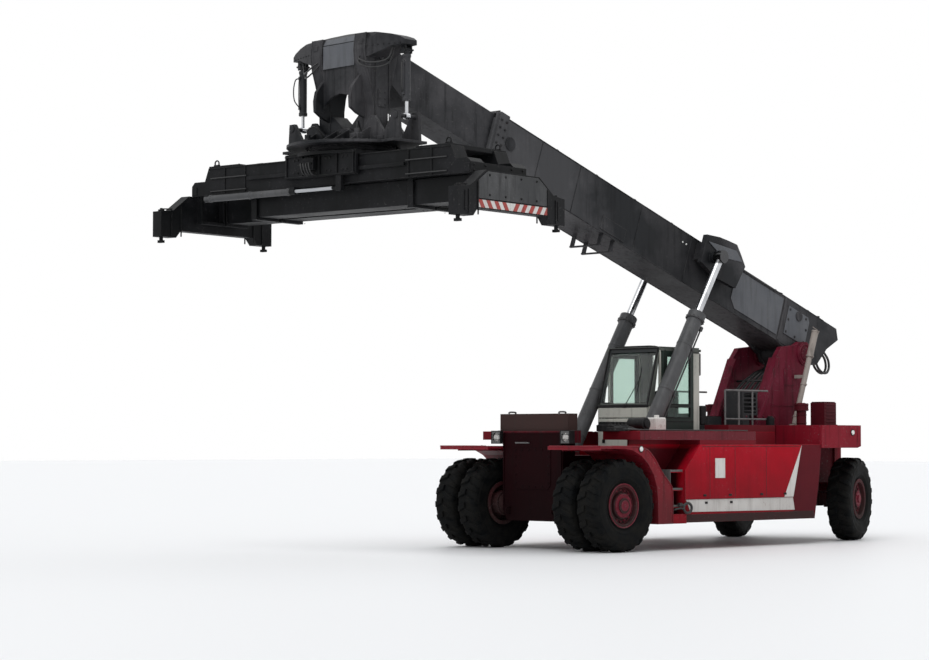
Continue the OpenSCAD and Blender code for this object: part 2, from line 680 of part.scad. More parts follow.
module tilt_barrel() {
    translate([head[0], 0, head[2] + pin_up]) {
        difference() {
            union() {
                bar_x(44, [-42, 42], 0, 0);
                translate([0, 0, -740]) cylinder(r = 58, h = 670);
                box([-30, 30], [-30, 30], [-80, 0]);
            }
            bar_x(25 + run, [-43, 43], 0, 0);
            translate([0, 0, -741]) cylinder(r = 25 + run, h = 560);
        }
    }
}

module tilt_rod() {
    translate([head[0], 0, tilt[2] + ear_up]) {
        translate([0, 0, 20]) cylinder(r = 25, h = 620);
        bar_x(45, [-40, 40], 0, 0);
    }
}

module rotator_frame() {
    translate(tilt) {
        for (x = [-220, 170]) cross_plate([[-tilt_end, -170], [-tilt_end + 30, ear_up + 70], [-tilt_end + 150, ear_up + 70],
            [-900, -10], [-690, 250], [-610, 250], [-430, 60], [-240, 40], [-90, 110], [90, 110], [240, 40], [430, 60],
            [610, 250], [690, 250], [900, -10], [tilt_end - 150, ear_up + 70], [tilt_end - 30, ear_up + 70],
            [tilt_end, -170]], [x, x + 50]);
        box([-330, 330], [-tilt_end, tilt_end], [-180, -140]);
        // round plate, cut straight at the back where the boom comes down
        intersection() {
            translate([0, 0, -180]) cylinder(r = flange_r, h = 40, $fn = 64);
            box([-780, flange_r + 1], [-flange_r - 1, flange_r + 1], [-181, -139]);
        }
        bar_x(50, [-219, 219], 0, 0);
        both_sides() for (x = [-175, 50]) bar_x(30, [x, x + 125], tilt_y, ear_up);
        // gussets out to the round plate
        both_sides() for (x = [219, -640]) for (y = [420, 1000 - 90])
            translate([x, 0, 0]) side_plate(x > 0 ? [[0, -141], [421, -141], [0, 90]] : [[0, -141], [421, -141], [421, 90]],
                y > 800 ? [y - 330, y - 300] : [y - 300, y - 270]);
    }
    translate([tilt[0], 0, ring_z - 60]) cylinder(r = ring_r, h = 61);
}

module carriage() {
    in_slew() {
        translate([0, 0, carry_top - 1]) cylinder(r = ring_r - 30, h = 51 - seat);
        translate([0, 0, carry_top - 45]) cylinder(r = flange_r - 125, h = 45, $fn = 64);
        box([-740, 740], [-700, 700], [carry_top - carry_h, carry_top]);
        // side plates that hook under the main frame's rails
        for (x = [-740, 690]) box([x, x + 50], [-700, 700], [main_low + 120, carry_top - 10]);
        for (x = [-700, 650]) box([x, x + 50], [-700, 700], [main_low + 120, rail_z - seat]);
        // side-shift rod and the arm that holds its end
        box([shift_x - 10, shift_x + 40], [310, 410], [shift_z - 50, main_low + 130]);
        box([shift_x - 45, shift_x + 40], [310, 410], [shift_z - 50, shift_z + 50]);
        bar_y(25, shift_x, [-1520, 320], shift_z);
    }
}

module spreader_frame() {
    end_top = main_top - 200;
    in_slew() {
        // long boxes with lowered ends
        for (x = [-640, 340]) cross_plate([[-frame_len, main_low], [-frame_len, end_top - 60], [-frame_len + 60, end_top],
            [-2480, end_top], [-2400, main_top], [2400, main_top], [2480, end_top], [frame_len - 60, end_top],
            [frame_len, end_top - 60], [frame_len, main_low]], [x, x + 300]);
        for (y = [-frame_len, frame_len - 60]) box([-640, 640], [y, y + 60], [main_low, end_top - 60]);
        box([-345, 345], [-1200, 1200], [main_top - 60, main_top]);
        // top covers at the ends
        for (y = [-2390, 1750]) box([-640, 640], [y, y + 640], [main_top - 40, main_top + 25]);
        // rails that the carriage hooks under
        for (x = [-680, 639]) box([x, x + 41], [-1560, 1560], [rail_z, rail_z + 50]);
        // side-shift cylinder
        difference() {
            union() {
                bar_y(50, shift_x, [-2400, -520], shift_z);
                for (y = [-2400, -610]) box([600, shift_x + 40], [y, y + 90], [shift_z - 40, main_low + 1]);
            }
            bar_y(25 + run, shift_x, [-2360, -519], shift_z);
        }
        // guides that carry the telescopic beams
        for (x = [50, -50 - beam_w - 2 * gap]) for (y = [-frame_len, -1600, 1500, frame_len - 100])
            difference() {
                box([x - 30, x + beam_w + 2 * gap + 30], [y, y + 100], [beam_low - gap - 30, main_low + 1]);
                box([x, x + beam_w + 2 * gap], [y - 1, y + 101], [beam_low - seat, beam_top + gap / 2]);
            }
    }
}

module spreader_beam() {
    x0 = 50 + gap;
    x_end = lock_end[0];
    y_end = lock_end[1];
    end_z = lock_z + 390;
    box([x0, x0 + beam_w], [-1640, y_end - 170], [beam_low, beam_top]);
    // header: a tall plate box, lower at its ends
    difference() {
        side_plate([[-x_end, lock_z], [-x_end, end_z], [-x_end + 260, end_z + 30], [-620, beam_top + 30], [620, beam_top + 30],
            [x_end - 260, end_z + 30], [x_end, end_z], [x_end, lock_z]], [y_end - 180, y_end]);
        side_plate([[-x_end + 320, lock_z - 1], [-x_end + 420, lock_z + 110], [x_end - 420, lock_z + 110],
            [x_end - 320, lock_z - 1]], [y_end - 181, y_end + 1]);
        for (x = [-lock_x / 2, lock_x / 2]) translate([x, lock_y / 2, lock_z - 1]) cylinder(r = 36, h = 120);
    }
    for (x = [-lock_x / 2, lock_x / 2]) translate([x, lock_y / 2, lock_z - 90]) {
        cylinder(r = 30, h = 210);
        box([-28, 28], [-50, 50], [0, 40]);
    }
}

place() color(dark_red) chassis_frame();
place() color(dark_red) drive_axle();
place() color(bright_red) mudguard();  // mudguard_left
place() color(bright_red) mirror([0, 1, 0]) mudguard();  // mudguard_right
place() color(bright_red) side_body();  // side_body_left
place() color(bright_red) mirror([0, 1, 0]) side_body();  // side_body_right
place() color(bright_red) counterweight();
place() color(dark_red) boom_tower();
place() color(steel) engine();
place() color("#2a2c30") cooler();
place() color(dark_red) steer_axle();
place() color("#e4e2d8") {
    cab_shell();
    door_rails();
}
place() color("#9db8b8", 0.4) cab_glass();
place() color("#2a2c30") cab_seat();
place() color("#4a5a50") cab_door();  // cab_door_left
place() color("#4a5a50") mirror([0, 1, 0]) cab_door();  // cab_door_right
place() color("#f2f2ee") lamps();
place() color("#c9ccd0") handrails();
place() color("#c9ccd0") exhaust_pipe();
place() color(dark_red) front_rims();  // front_rims_left
place() color("#2b2b2d") front_tyres();  // front_tyres_left
place() color(dark_red) mirror([0, 1, 0]) front_rims();  // front_rims_right
place() color("#2b2b2d") mirror([0, 1, 0]) front_tyres();  // front_tyres_right
place() color(dark_red) knuckle(1);  // knuckle_left
place() color(dark_red) knuckle(-1);  // knuckle_right
place() color(dark_red) rear_rim(1);  // rear_rim_left
place() color("#2b2b2d") rear_wheel_place(1) tyre();  // rear_tyre_left
place() color(dark_red) rear_rim(-1);  // rear_rim_right
place() color("#2b2b2d") rear_wheel_place(-1) tyre();  // rear_tyre_right
place() color(steel) in_lift(1) lift_barrel();  // lift_barrel_left
place() color("#c9ccd0") in_lift(1) lift_rod();  // lift_rod_left
place() color(steel) in_lift(-1) lift_barrel();  // lift_barrel_right
place() color("#c9ccd0") in_lift(-1) lift_rod();  // lift_rod_right
place() color(boom_grey) outer_boom();
place() color(boom_grey) inner_boom();
place() color(boom_grey) head_yoke();
place() color(steel) translate([0, tilt_y, 0]) tilt_barrel();  // tilt_barrel_left
place() color("#c9ccd0") translate([0, tilt_y, 0]) tilt_rod();  // tilt_rod_left
place() color(steel) translate([0, -tilt_y, 0]) tilt_barrel();  // tilt_barrel_right
place() color("#c9ccd0") translate([0, -tilt_y, 0]) tilt_rod();  // tilt_rod_right
place() color(boom_grey) rotator_frame();
place() color("#2f3136") carriage();
place() color("#2f3136") spreader_frame();
place() color("#2f3136") in_slew() spreader_beam();  // spreader_beam_left
place() color("#2f3136")  // spreader_beam_right
    in_slew() rotate([0, 0, 180]) spreader_beam();
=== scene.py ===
# %% [markdown]
# Reach stacker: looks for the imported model
#
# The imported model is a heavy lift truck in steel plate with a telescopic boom.
# Blender adds what plain solids lack: worn paint, rubber, glass, chrome, tread,
# hoses, bolts and lenses. The model is loaded first as a fixed frame, so each
# piece can be placed by the solids and never by eye.

# %% load the frame
import bpy, bmesh, math, json
from mathutils import Vector, Matrix


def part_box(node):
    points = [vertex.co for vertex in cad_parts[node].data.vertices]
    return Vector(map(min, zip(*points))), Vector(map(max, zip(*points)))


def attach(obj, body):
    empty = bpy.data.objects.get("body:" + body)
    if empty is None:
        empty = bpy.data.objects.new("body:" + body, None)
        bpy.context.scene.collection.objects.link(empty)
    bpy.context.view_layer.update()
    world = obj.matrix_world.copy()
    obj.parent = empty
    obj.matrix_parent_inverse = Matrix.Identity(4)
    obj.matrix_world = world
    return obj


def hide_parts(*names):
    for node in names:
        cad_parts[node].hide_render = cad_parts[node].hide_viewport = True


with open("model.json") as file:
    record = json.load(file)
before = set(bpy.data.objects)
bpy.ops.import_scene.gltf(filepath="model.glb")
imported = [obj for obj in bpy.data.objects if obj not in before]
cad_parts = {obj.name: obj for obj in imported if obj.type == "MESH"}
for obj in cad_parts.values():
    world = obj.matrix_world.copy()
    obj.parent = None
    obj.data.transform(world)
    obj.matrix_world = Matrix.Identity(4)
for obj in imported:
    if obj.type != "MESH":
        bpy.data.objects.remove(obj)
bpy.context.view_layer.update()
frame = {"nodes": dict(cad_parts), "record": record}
joints = {j["name"]: j for j in frame["record"]["behaviour"]["joints"]}
axle_x = joints["front_wheels_spin_left"]["pos_m"][0]
print("nodes", len(frame["nodes"]), "front axle at x", round(axle_x, 4))


def at(x, y, z):
    """A point measured from the front axle's middle, in metres, in the shared frame."""
    return Vector((x + axle_x, y, z))


# %% [markdown]
# Camera
#
# The truck is seen from its front left, low and from far away, through a long
# lens. The place and the turn of the camera were worked out from the truck's
# own edges, so they are written as numbers. A long lens from far away keeps
# parallel plates nearly parallel, which a near, wide lens would not.

# %% camera
def linked(name, data):
    """An object around its data, in the scene."""
    obj = bpy.data.objects.new(name, data)
    bpy.context.scene.collection.objects.link(obj)
    return obj


def heading(yaw, pitch):
    """The direction at an angle round z and an angle above level."""
    return Vector((math.cos(yaw) * math.cos(pitch), math.sin(yaw) * math.cos(pitch), math.sin(pitch)))


eye, yaw, pitch, roll = at(28.07, 26.465, 1.698), 3.930, 0.0470, 0.0012
focal_px, width_px, sensor_mm = 2400, 929, 36
camera = linked("camera", bpy.data.cameras.new("camera"))
bpy.context.scene.camera = camera
forward = heading(yaw, pitch)
right = forward.cross(Vector((0, 0, 1))).normalized()
turn = Matrix((right, right.cross(forward), -forward)).transposed() @ Matrix.Rotation(roll, 3, "Z")
camera.matrix_world = Matrix.Translation(eye) @ turn.to_4x4()
camera.data.sensor_width = sensor_mm
camera.data.lens = focal_px / width_px * sensor_mm
camera.data.clip_end = 400
print("camera at", [round(v, 2) for v in eye], "lens", round(camera.data.lens, 1))

# %% [markdown]
# Node helpers
#
# A material is a small graph, and writing it by hand repeats the same three
# lines. These helpers make a node with its values and join it to others. Groups
# are made with named sockets, so each material reads like a form that is
# filled in. Every finish also notes which slot of the solids it stands for.

# %% node helpers
slots = {}


def rgba(colour):
    return (*colour, 1)


def node(tree, kind, ins=None, **props):
    """Adds a node; ins gives each named or numbered input a value or a socket to link."""
    made = tree.nodes.new("ShaderNode" + kind)
    for key, value in props.items():
        setattr(made, key, value)
    for key, value in (ins or {}).items():
        if isinstance(value, bpy.types.NodeSocket):
            tree.links.new(value, made.inputs[key])
        else:
            made.inputs[key].default_value = value
    return made


def group(name, ins, outs):
    """A shader node group with named sockets: {name: (type, default)}."""
    tree = bpy.data.node_groups.new(name, "ShaderNodeTree")
    for key, (kind, default) in ins.items():
        socket = tree.interface.new_socket(key, in_out="INPUT", socket_type="NodeSocket" + kind)
        socket.default_value = default
    for key, kind in outs.items():
        tree.interface.new_socket(key, in_out="OUTPUT", socket_type="NodeSocket" + kind)
    return tree, tree.nodes.new("NodeGroupInput").outputs, tree.nodes.new("NodeGroupOutput").inputs


def ramp(tree, value, low, high, to_low=0.0, to_high=1.0):
    """A clamped straight ramp of a value."""
    ends = {"Value": value, "From Min": low, "From Max": high, "To Min": to_low, "To Max": to_high}
    return node(tree, "MapRange", ends).outputs[0]


def mix_colour(tree, mask, a, b):
    """Colour a where the mask is 0, b where it is 1."""
    return node(tree, "Mix", {0: mask, 6: a, 7: b}, data_type="RGBA").outputs[2]


def calc(tree, a, b, operation="MULTIPLY"):
    return node(tree, "Math", {0: a, 1: b}, operation=operation).outputs[0]


def noise(tree, place, scale, detail, rough=0.5):
    ins = {"Vector": place, "Scale": scale, "Detail": detail, "Roughness": rough}
    return node(tree, "TexNoise", ins).outputs[0]


def wire(tree, ins):
    """Links sockets to the inputs of a material's own shader, or of a group's output."""
    for target, socket in ins:
        tree.links.new(socket, target)


def plain(name, colour, rough=0.5, slot=None, **sockets):
    """A finish of one colour; slot is the solids' slot that it stands for, if it isn't its name."""
    material = bpy.data.materials.new(name)
    material.use_nodes = True
    shader = material.node_tree.nodes["Principled BSDF"]
    shader.inputs["Base Color"].default_value = rgba(colour)
    shader.inputs["Roughness"].default_value = rough
    for key, value in sockets.items():
        shader.inputs[key.replace("_", " ")].default_value = value
    slots[material.name] = slot or name
    return material


# %% [markdown]
# Floor and light
#
# A wet, overcast day has one big soft light, the sky. A pale world with a wide,
# weak sun gives the same: forms read from soft shading, and the shadow under
# the truck is broad. The world is white to the camera, to gloss and to glass,
# and plainly grey as a lamp, so that colours render about as they are written.

# %% floor, world and lamps
bm = bmesh.new()


def closed(name):
    """The open mesh bm as finished mesh data; bm is empty again for the next shape."""
    mesh = bpy.data.meshes.new(name)
    bm.to_mesh(mesh)
    bm.clear()
    return mesh


bpy.context.scene.view_settings.view_transform = "Standard"
bmesh.ops.create_grid(bm, x_segments=1, y_segments=1, size=160)
floor = linked("floor", closed("floor"))
floor.data.materials.append(plain("floor", (0.80, 0.80, 0.81), 0.55))

world = bpy.data.worlds.new("world")
bpy.context.scene.world = world
world.use_nodes = True
tree = world.node_tree
tree.nodes.clear()
ray = node(tree, "LightPath").outputs
seen = calc(tree, ray["Is Camera Ray"], ray["Is Glossy Ray"], "MAXIMUM")
seen = calc(tree, seen, ray["Is Transmission Ray"], "MAXIMUM")
lit = node(tree, "Background", {0: (0.95, 0.98, 1, 1), 1: 0.62}).outputs[0]
shown = node(tree, "Background", {0: (1, 1, 1, 1)}).outputs[0]
node(tree, "OutputWorld", {0: node(tree, "MixShader", {0: seen, 1: lit, 2: shown}).outputs[0]})

for name, energy, angle, azimuth, height in (("sky_left", 1.25, 40, 20, 55), ("sky_back", 0.6, 60, 200, 65)):
    lamp = linked(name, bpy.data.lights.new(name, "SUN"))
    lamp.data.energy = energy
    lamp.data.angle = math.radians(angle)
    to_lamp = heading(math.radians(azimuth), math.radians(height))
    lamp.rotation_euler = to_lamp.to_track_quat("Z", "Y").to_euler()
print("floor, world and two soft suns")

# %% [markdown]
# Worn paint
#
# The truck has worked outdoors for years. Its paint is faded in broad patches,
# rain has drawn dark streaks down it, dirt has splashed the lower parts, and
# small chips show primer. All of that is noise on object coordinates, stretched
# downwards for the streaks. It is one group, because every painted piece
# has the same weather on it and only the amounts differ.

# %% weather group
def weather_group():
    amount = ("Float", 0.5)
    tree, i, o = group("weather", {
        "Paint": ("Color", (0.5, 0.05, 0.08, 1)), "Faded": ("Color", (0.6, 0.2, 0.2, 1)),
        "Dirt": ("Color", (0.05, 0.045, 0.04, 1)), "Chip": ("Color", (0.2, 0.19, 0.18, 1)),
        "Patch Scale": ("Float", 1.5), "Fade": amount, "Streaks": amount, "Splash": amount, "Chips": amount},
        {"Colour": "Color", "Roughness": "Float", "Height": "Float", "Chips": "Float"})
    place = node(tree, "TexCoord").outputs["Object"]
    patch = noise(tree, place, i["Patch Scale"], 5, 0.6)
    faded = calc(tree, ramp(tree, patch, 0.42, 0.66), i["Fade"])
    colour = mix_colour(tree, faded, i["Paint"], i["Faded"])
    down = node(tree, "Mapping", {"Vector": place, "Scale": (5.0, 5.0, 0.45)}).outputs[0]
    streak = calc(tree, ramp(tree, noise(tree, down, 2.2, 6, 0.65), 0.50, 0.72), i["Streaks"])
    colour = mix_colour(tree, streak, colour, i["Dirt"])
    high = node(tree, "SeparateXYZ", {0: place}).outputs[2]
    uneven = calc(tree, high, calc(tree, noise(tree, place, 3.5, 4), 0.9), "SUBTRACT")
    low = calc(tree, ramp(tree, uneven, 0.1, 1.15, 1.0, 0.0), i["Splash"])
    colour = mix_colour(tree, low, colour, i["Dirt"])
    speck = noise(tree, place, 26.0, 3, 0.7)
    chip = calc(tree, ramp(tree, speck, 0.62, 0.66), ramp(tree, patch, 0.45, 0.6))
    chip = calc(tree, chip, i["Chips"])
    rough = calc(tree, calc(tree, faded, 0.2), calc(tree, low, 0.25), "ADD")
    wire(tree, ((o["Colour"], mix_colour(tree, chip, colour, i["Chip"])),
                (o["Roughness"], calc(tree, rough, calc(tree, streak, 0.15), "ADD")),
                (o["Height"], calc(tree, calc(tree, speck, 0.35), calc(tree, chip, -0.5), "ADD")),
                (o["Chips"], chip)))
    return tree


weather = weather_group()
print("group", weather.name)

# %% [markdown]
# Edge wear
#
# Plate edges lose their paint first and catch light. The Bevel node gives the
# normal that a rounded edge would have. Where it differs from the true normal
# there is an edge, and that difference, broken up by noise, is the wear mask.

# %% edge wear group
def edge_group():
    tree, i, o = group("edge_wear", {"Width": ("Float", 0.012), "Amount": ("Float", 0.6)},
                       {"Mask": "Float", "Normal": "Vector"})
    round_edge = node(tree, "Bevel", {"Radius": i["Width"]}, samples=4).outputs[0]
    flat = node(tree, "NewGeometry").outputs["Normal"]
    dot = node(tree, "VectorMath", {0: round_edge, 1: flat}, operation="DOT_PRODUCT").outputs["Value"]
    broken = ramp(tree, noise(tree, node(tree, "TexCoord").outputs["Object"], 7.0, 5, 0.7), 0.40, 0.62)
    mask = calc(tree, ramp(tree, dot, 0.985, 0.86), broken)
    wire(tree, ((o["Mask"], calc(tree, mask, i["Amount"])), (o["Normal"], round_edge)))
    return tree


edge_wear = edge_group()
print("group", edge_wear.name)


# %% painted metal materials
def painted(name, paint, faded, dirt=(0.035, 0.032, 0.03), chip=(0.16, 0.15, 0.15), slot=None, patch=1.3,
            fade=0.5, streaks=0.45, splash=0.5, chips=0.5, rough=0.42, coat=0.06, edge=0.5, edge_width=0.012,
            gloss=0.10):
    """Weathered paint: the weather group under worn edges, with a soft clear coat."""
    material = plain(name, paint, rough, slot, Coat_Weight=coat, Coat_Roughness=0.25,
                     Specular_IOR_Level=gloss)
    tree = material.node_tree
    into = tree.nodes["Principled BSDF"].inputs
    worn = node(tree, "Group", node_tree=weather, ins={
        "Paint": rgba(paint), "Faded": rgba(faded), "Dirt": rgba(dirt), "Chip": rgba(chip),
        "Patch Scale": patch, "Fade": fade, "Streaks": streaks, "Splash": splash, "Chips": chips}).outputs
    edges = node(tree, "Group", {"Width": edge_width, "Amount": edge}, node_tree=edge_wear).outputs
    bump = node(tree, "Bump", {"Height": worn["Height"], "Normal": edges["Normal"], "Strength": 0.35,
                               "Distance": 0.004}).outputs[0]
    wire(tree, ((into["Base Color"], mix_colour(tree, edges["Mask"], worn["Colour"], rgba(chip))),
                (into["Roughness"], calc(tree, worn["Roughness"], rough, "ADD")), (into["Normal"], bump)))
    return material


soot, old_dirt = (0.02, 0.008, 0.008), (0.004, 0.004, 0.004)
rows = {
    "dark_red_paint": dict(paint=(0.085, 0.008, 0.014), faded=(0.13, 0.022, 0.028), splash=0.75,
                           streaks=0.55, coat=0.0, gloss=0.03),
    "bright_red_paint": dict(paint=(0.37, 0.003, 0.013), faded=(0.43, 0.012, 0.028),
                             dirt=(0.06, 0.010, 0.012), streaks=0.3, splash=0.55, fade=0.6, chips=0.35,
                             rough=0.35, coat=0.04, gloss=0.04),
    "engine_grey": dict(paint=(0.11, 0.11, 0.115), faded=(0.16, 0.155, 0.15), rough=0.55),
    "cooler_black": dict(paint=(0.03, 0.031, 0.034), faded=(0.06, 0.055, 0.055), rough=0.5),
    "cab_cream": dict(paint=(0.56, 0.56, 0.50), faded=(0.42, 0.43, 0.39), streaks=0.35, splash=0.3,
                      edge=0.35, chip=(0.22, 0.22, 0.21)),
    "door_green": dict(paint=(0.020, 0.031, 0.026), faded=(0.036, 0.046, 0.040), splash=0.3, rough=0.38),
    "rail_steel": dict(paint=(0.15, 0.145, 0.145), faded=(0.20, 0.195, 0.19), rough=0.4, edge=0.3,
                       edge_width=0.004),
    "cylinder_grey": dict(paint=(0.070, 0.071, 0.074), faded=(0.115, 0.115, 0.117), rough=0.36, splash=0.3),
    "boom_grey": dict(paint=(0.013, 0.014, 0.016), faded=(0.070, 0.068, 0.072), dirt=(0.006, 0.006, 0.007),
                      patch=0.75, streaks=0.7, fade=0.95, splash=0.2, chip=(0.10, 0.098, 0.096), rough=0.5,
                      edge=0.55, edge_width=0.016),
    "spreader_black": dict(paint=(0.0035, 0.004, 0.0045), faded=(0.016, 0.016, 0.018), dirt=old_dirt,
                           streaks=0.4, fade=0.8, chip=(0.07, 0.068, 0.066), rough=0.5)}
paints = {name: painted(name, **row) for name, row in rows.items()}
steel, black_paint = paints["rail_steel"], paints["spreader_black"]
rim_paint = painted("rim_red", (0.20, 0.013, 0.030), (0.26, 0.040, 0.060), (0.03, 0.012, 0.014),
                    slot="dark_red_paint", splash=0.35, fade=0.7, rough=0.5)
white_paint = painted("white_paint", (0.74, 0.72, 0.69), (0.60, 0.57, 0.54), (0.16, 0.13, 0.12),
                      slot="cab_cream", streaks=0.35, splash=0.3, edge=0.3, chip=(0.2, 0.05, 0.05))
dark_trim = painted("dark_trim", (0.007, 0.007, 0.008), (0.020, 0.019, 0.019), slot="cooler_black",
                    splash=0.3, rough=0.45, edge=0.3)
light_grey = painted("light_grey", (0.105, 0.110, 0.122), (0.15, 0.153, 0.16), slot="boom_grey", streaks=0.4,
                     splash=0.1, fade=0.6, rough=0.45)
print("painted finishes", ", ".join(paints))

# %% [markdown]
# Glass, chrome, rubber, fabric and lamps
#
# The cab's glass is green and clear enough to show the seat. The cylinders'
# rods are hard chrome with fine rings along the stroke. The tyres are matt rubber
# with dust in the hollows.

# %% other materials
def speckled(name, one, other, scale, rough, bump=0.2, depth=0.002, detail=5.0, stretch=(1, 1, 1), **more):
    """A finish broken up by noise: two colours and two roughnesses, with a matching bump."""
    material = plain(name, one, rough[0], **more)
    tree = material.node_tree
    into = tree.nodes["Principled BSDF"].inputs
    place = node(tree, "TexCoord").outputs["Object"]
    place = node(tree, "Mapping", {"Vector": place, "Scale": stretch}).outputs[0]
    grain = noise(tree, place, scale, detail, 0.6)
    lift = node(tree, "Bump", {"Height": grain, "Strength": bump, "Distance": depth}).outputs[0]
    colour = mix_colour(tree, ramp(tree, grain, 0.38, 0.66), rgba(one), rgba(other))
    wire(tree, ((into["Base Color"], colour), (into["Roughness"], ramp(tree, grain, 0.3, 0.7, *rough)),
                (into["Normal"], lift)))
    return material


glass = plain("cab_glass", (0.93, 0.98, 0.95), 0.04, Transmission_Weight=0.96, IOR=1.2)
# the door panes are the cab's glass made darker: the extra darkness is painted shade
shaded_door_glass = plain("shaded_door_glass", (0.50, 0.66, 0.59), 0.06, "cab_glass", Transmission_Weight=0.94, IOR=1.2)
chrome = speckled("rod_chrome", (0.62, 0.63, 0.65), (0.42, 0.43, 0.45), 9.0, (0.14, 0.34), bump=0.05,
                  stretch=(1, 1, 0.3), Metallic=1.0)
rubber = speckled("tyre_black", (0.0035, 0.004, 0.0045), (0.012, 0.0115, 0.0105), 6.0, (0.55, 0.85), bump=0.5,
                  depth=0.004, Specular_IOR_Level=0.06)
fabric = speckled("seat_black", (0.015, 0.015, 0.017), (0.035, 0.035, 0.038), 160.0, (0.8, 0.95), bump=0.6,
                  depth=0.001, detail=1.0)
lamp_lens = speckled("lamp_white", (0.85, 0.85, 0.82), (0.6, 0.6, 0.58), 40.0, (0.08, 0.2), bump=0.3,
                     Coat_Weight=1.0)
red_lens = speckled("lamp_red", (0.40, 0.012, 0.010), (0.22, 0.008, 0.008), 40.0, (0.08, 0.22), bump=0.3,
                    slot="lamp_white", Coat_Weight=1.0)
hose_rubber = speckled("hose_rubber", (0.010, 0.010, 0.011), (0.030, 0.030, 0.030), 14.0, (0.4, 0.7),
                       bump=0.3, slot="tyre_black")
finishes = dict(paints, cab_glass=glass, rod_chrome=chrome, tyre_black=rubber, seat_black=fabric,
                lamp_white=lamp_lens)
print("other finishes", len(finishes) - len(paints))

# %% [markdown]
# Zones of other colour and of painted light
#
# Some solids carry more than one colour: the cab is cream with a dark frame
# round its windscreen and a dark lining inside, and the machine's deck is a
# dirty brown where it is walked on. A box measured from the front axle picks the
# zone, and the weather of the first paint still shows through the second. Other
# boxes hold painted light: painted shade on the front box and behind the front
# wheels, and a painted highlight along the side-shift rod.

# %% zones
def zone_group():
    corners = {"Low": ("Vector", (0, 0, 0)), "High": ("Vector", (1, 1, 1)), "Soft": ("Float", 0.01)}
    tree, i, o = group("zone", corners, {"Mask": "Float"})
    place = node(tree, "TexCoord").outputs["Object"]
    above = node(tree, "VectorMath", {0: place, 1: i["Low"]}, operation="SUBTRACT").outputs[0]
    below = node(tree, "VectorMath", {0: i["High"], 1: place}, operation="SUBTRACT").outputs[0]
    least = node(tree, "VectorMath", {0: above, 1: below}, operation="MINIMUM").outputs[0]
    x, y, z = node(tree, "SeparateXYZ", {0: least}).outputs
    inside = calc(tree, calc(tree, x, y, "MINIMUM"), z, "MINIMUM")
    wire(tree, ((o["Mask"], ramp(tree, inside, 0.0, i["Soft"])),))
    return tree


zone = zone_group()


def patched(name, base, zones):
    """A copy of a finish with other colours in boxes: each zone is (low, high, colour, soft, share)."""
    material = base.copy()
    material.name = name
    slots[material.name] = slots[base.name]
    tree = material.node_tree
    into = tree.nodes["Principled BSDF"].inputs["Base Color"]
    for low, high, colour, soft, share in zones:
        ins = {"Low": at(*low), "High": at(*high), "Soft": soft}
        mask = calc(tree, node(tree, "Group", ins, node_tree=zone).outputs["Mask"], share)
        wire(tree, ((into, mix_colour(tree, mask, into.links[0].from_socket, rgba(colour))),))
    return material


deck_brown, frame_green = (0.050, 0.038, 0.034), (0.030, 0.040, 0.036)
lining, black = (0.035, 0.038, 0.040), (0.008, 0.008, 0.009)
exhaust_beige = painted("exhaust_beige", (0.30, 0.26, 0.235), (0.36, 0.33, 0.30), slot="rail_steel",
                        streaks=0.6, rough=0.5)
fender_red = painted("fender_red", (0.21, 0.008, 0.018), (0.27, 0.018, 0.030), soot, slot="bright_red_paint",
                     streaks=0.5, rough=0.38, coat=0.1)
deck_red = painted("deck_red", (0.115, 0.009, 0.016), (0.165, 0.024, 0.034), soot, slot="dark_red_paint",
                   streaks=0.6)
tilt_steel = painted("tilt_steel", (0.032, 0.033, 0.036), (0.070, 0.070, 0.075), slot="cylinder_grey",
                     rough=0.4)
tower_red = painted("tower_red", (0.115, 0.007, 0.019), (0.175, 0.022, 0.044), (0.020, 0.008, 0.009),
                    slot="dark_red_paint", patch=1.1, fade=0.8, streaks=0.75, splash=0.9, rough=0.5,
                    gloss=0.05)
weight_red = painted("counterweight_red", (0.20, 0.008, 0.018), (0.27, 0.020, 0.034), (0.030, 0.008, 0.010),
                     slot="dark_red_paint", streaks=0.55, splash=0.8, rough=0.45, gloss=0.05)
weight_paint = patched("counterweight_paint", weight_red, [
    ((-6.4, -1.3, 2.012), (-5.3, 1.3, 2.6), (0.045, 0.008, 0.012), 0.004, 0.8)])
chassis_paint_and_shade = patched("chassis_paint_and_shade", paints["dark_red_paint"], [
    ((-3.4, -2, 1.888), (0.4, 2, 2.3), deck_brown, 0.004, 0.85),
    # painted shade: the front box between the twin wheels is made almost black
    ((-0.5, -0.75, 0.2), (0.4, 0.75, 1.87), (0.006, 0.0012, 0.0018), 0.02, 0.9)])
side_paint_and_shade = patched("side_paint_and_shade", paints["bright_red_paint"], [
    ((-5.6, -1.7, 1.888), (-3.28, 1.7, 2.02), (0.070, 0.010, 0.014), 0.004, 0.85),
    ((-5.6, -1.8, 1.675), (-0.3, 1.8, 1.888), (0.095, 0.010, 0.016), 0.005, 0.75),
    ((-5.6, -1.736, 0.3), (-4.3, 1.736, 1.675), (0.060, 0.007, 0.012), 0.002, 0.85),
    # painted shade: the step recess and the space under the fender behind the front wheels
    ((-1.95, -1.60, 0.4), (-0.4, 1.60, 1.66), (0.030, 0.005, 0.008), 0.06, 0.85)])
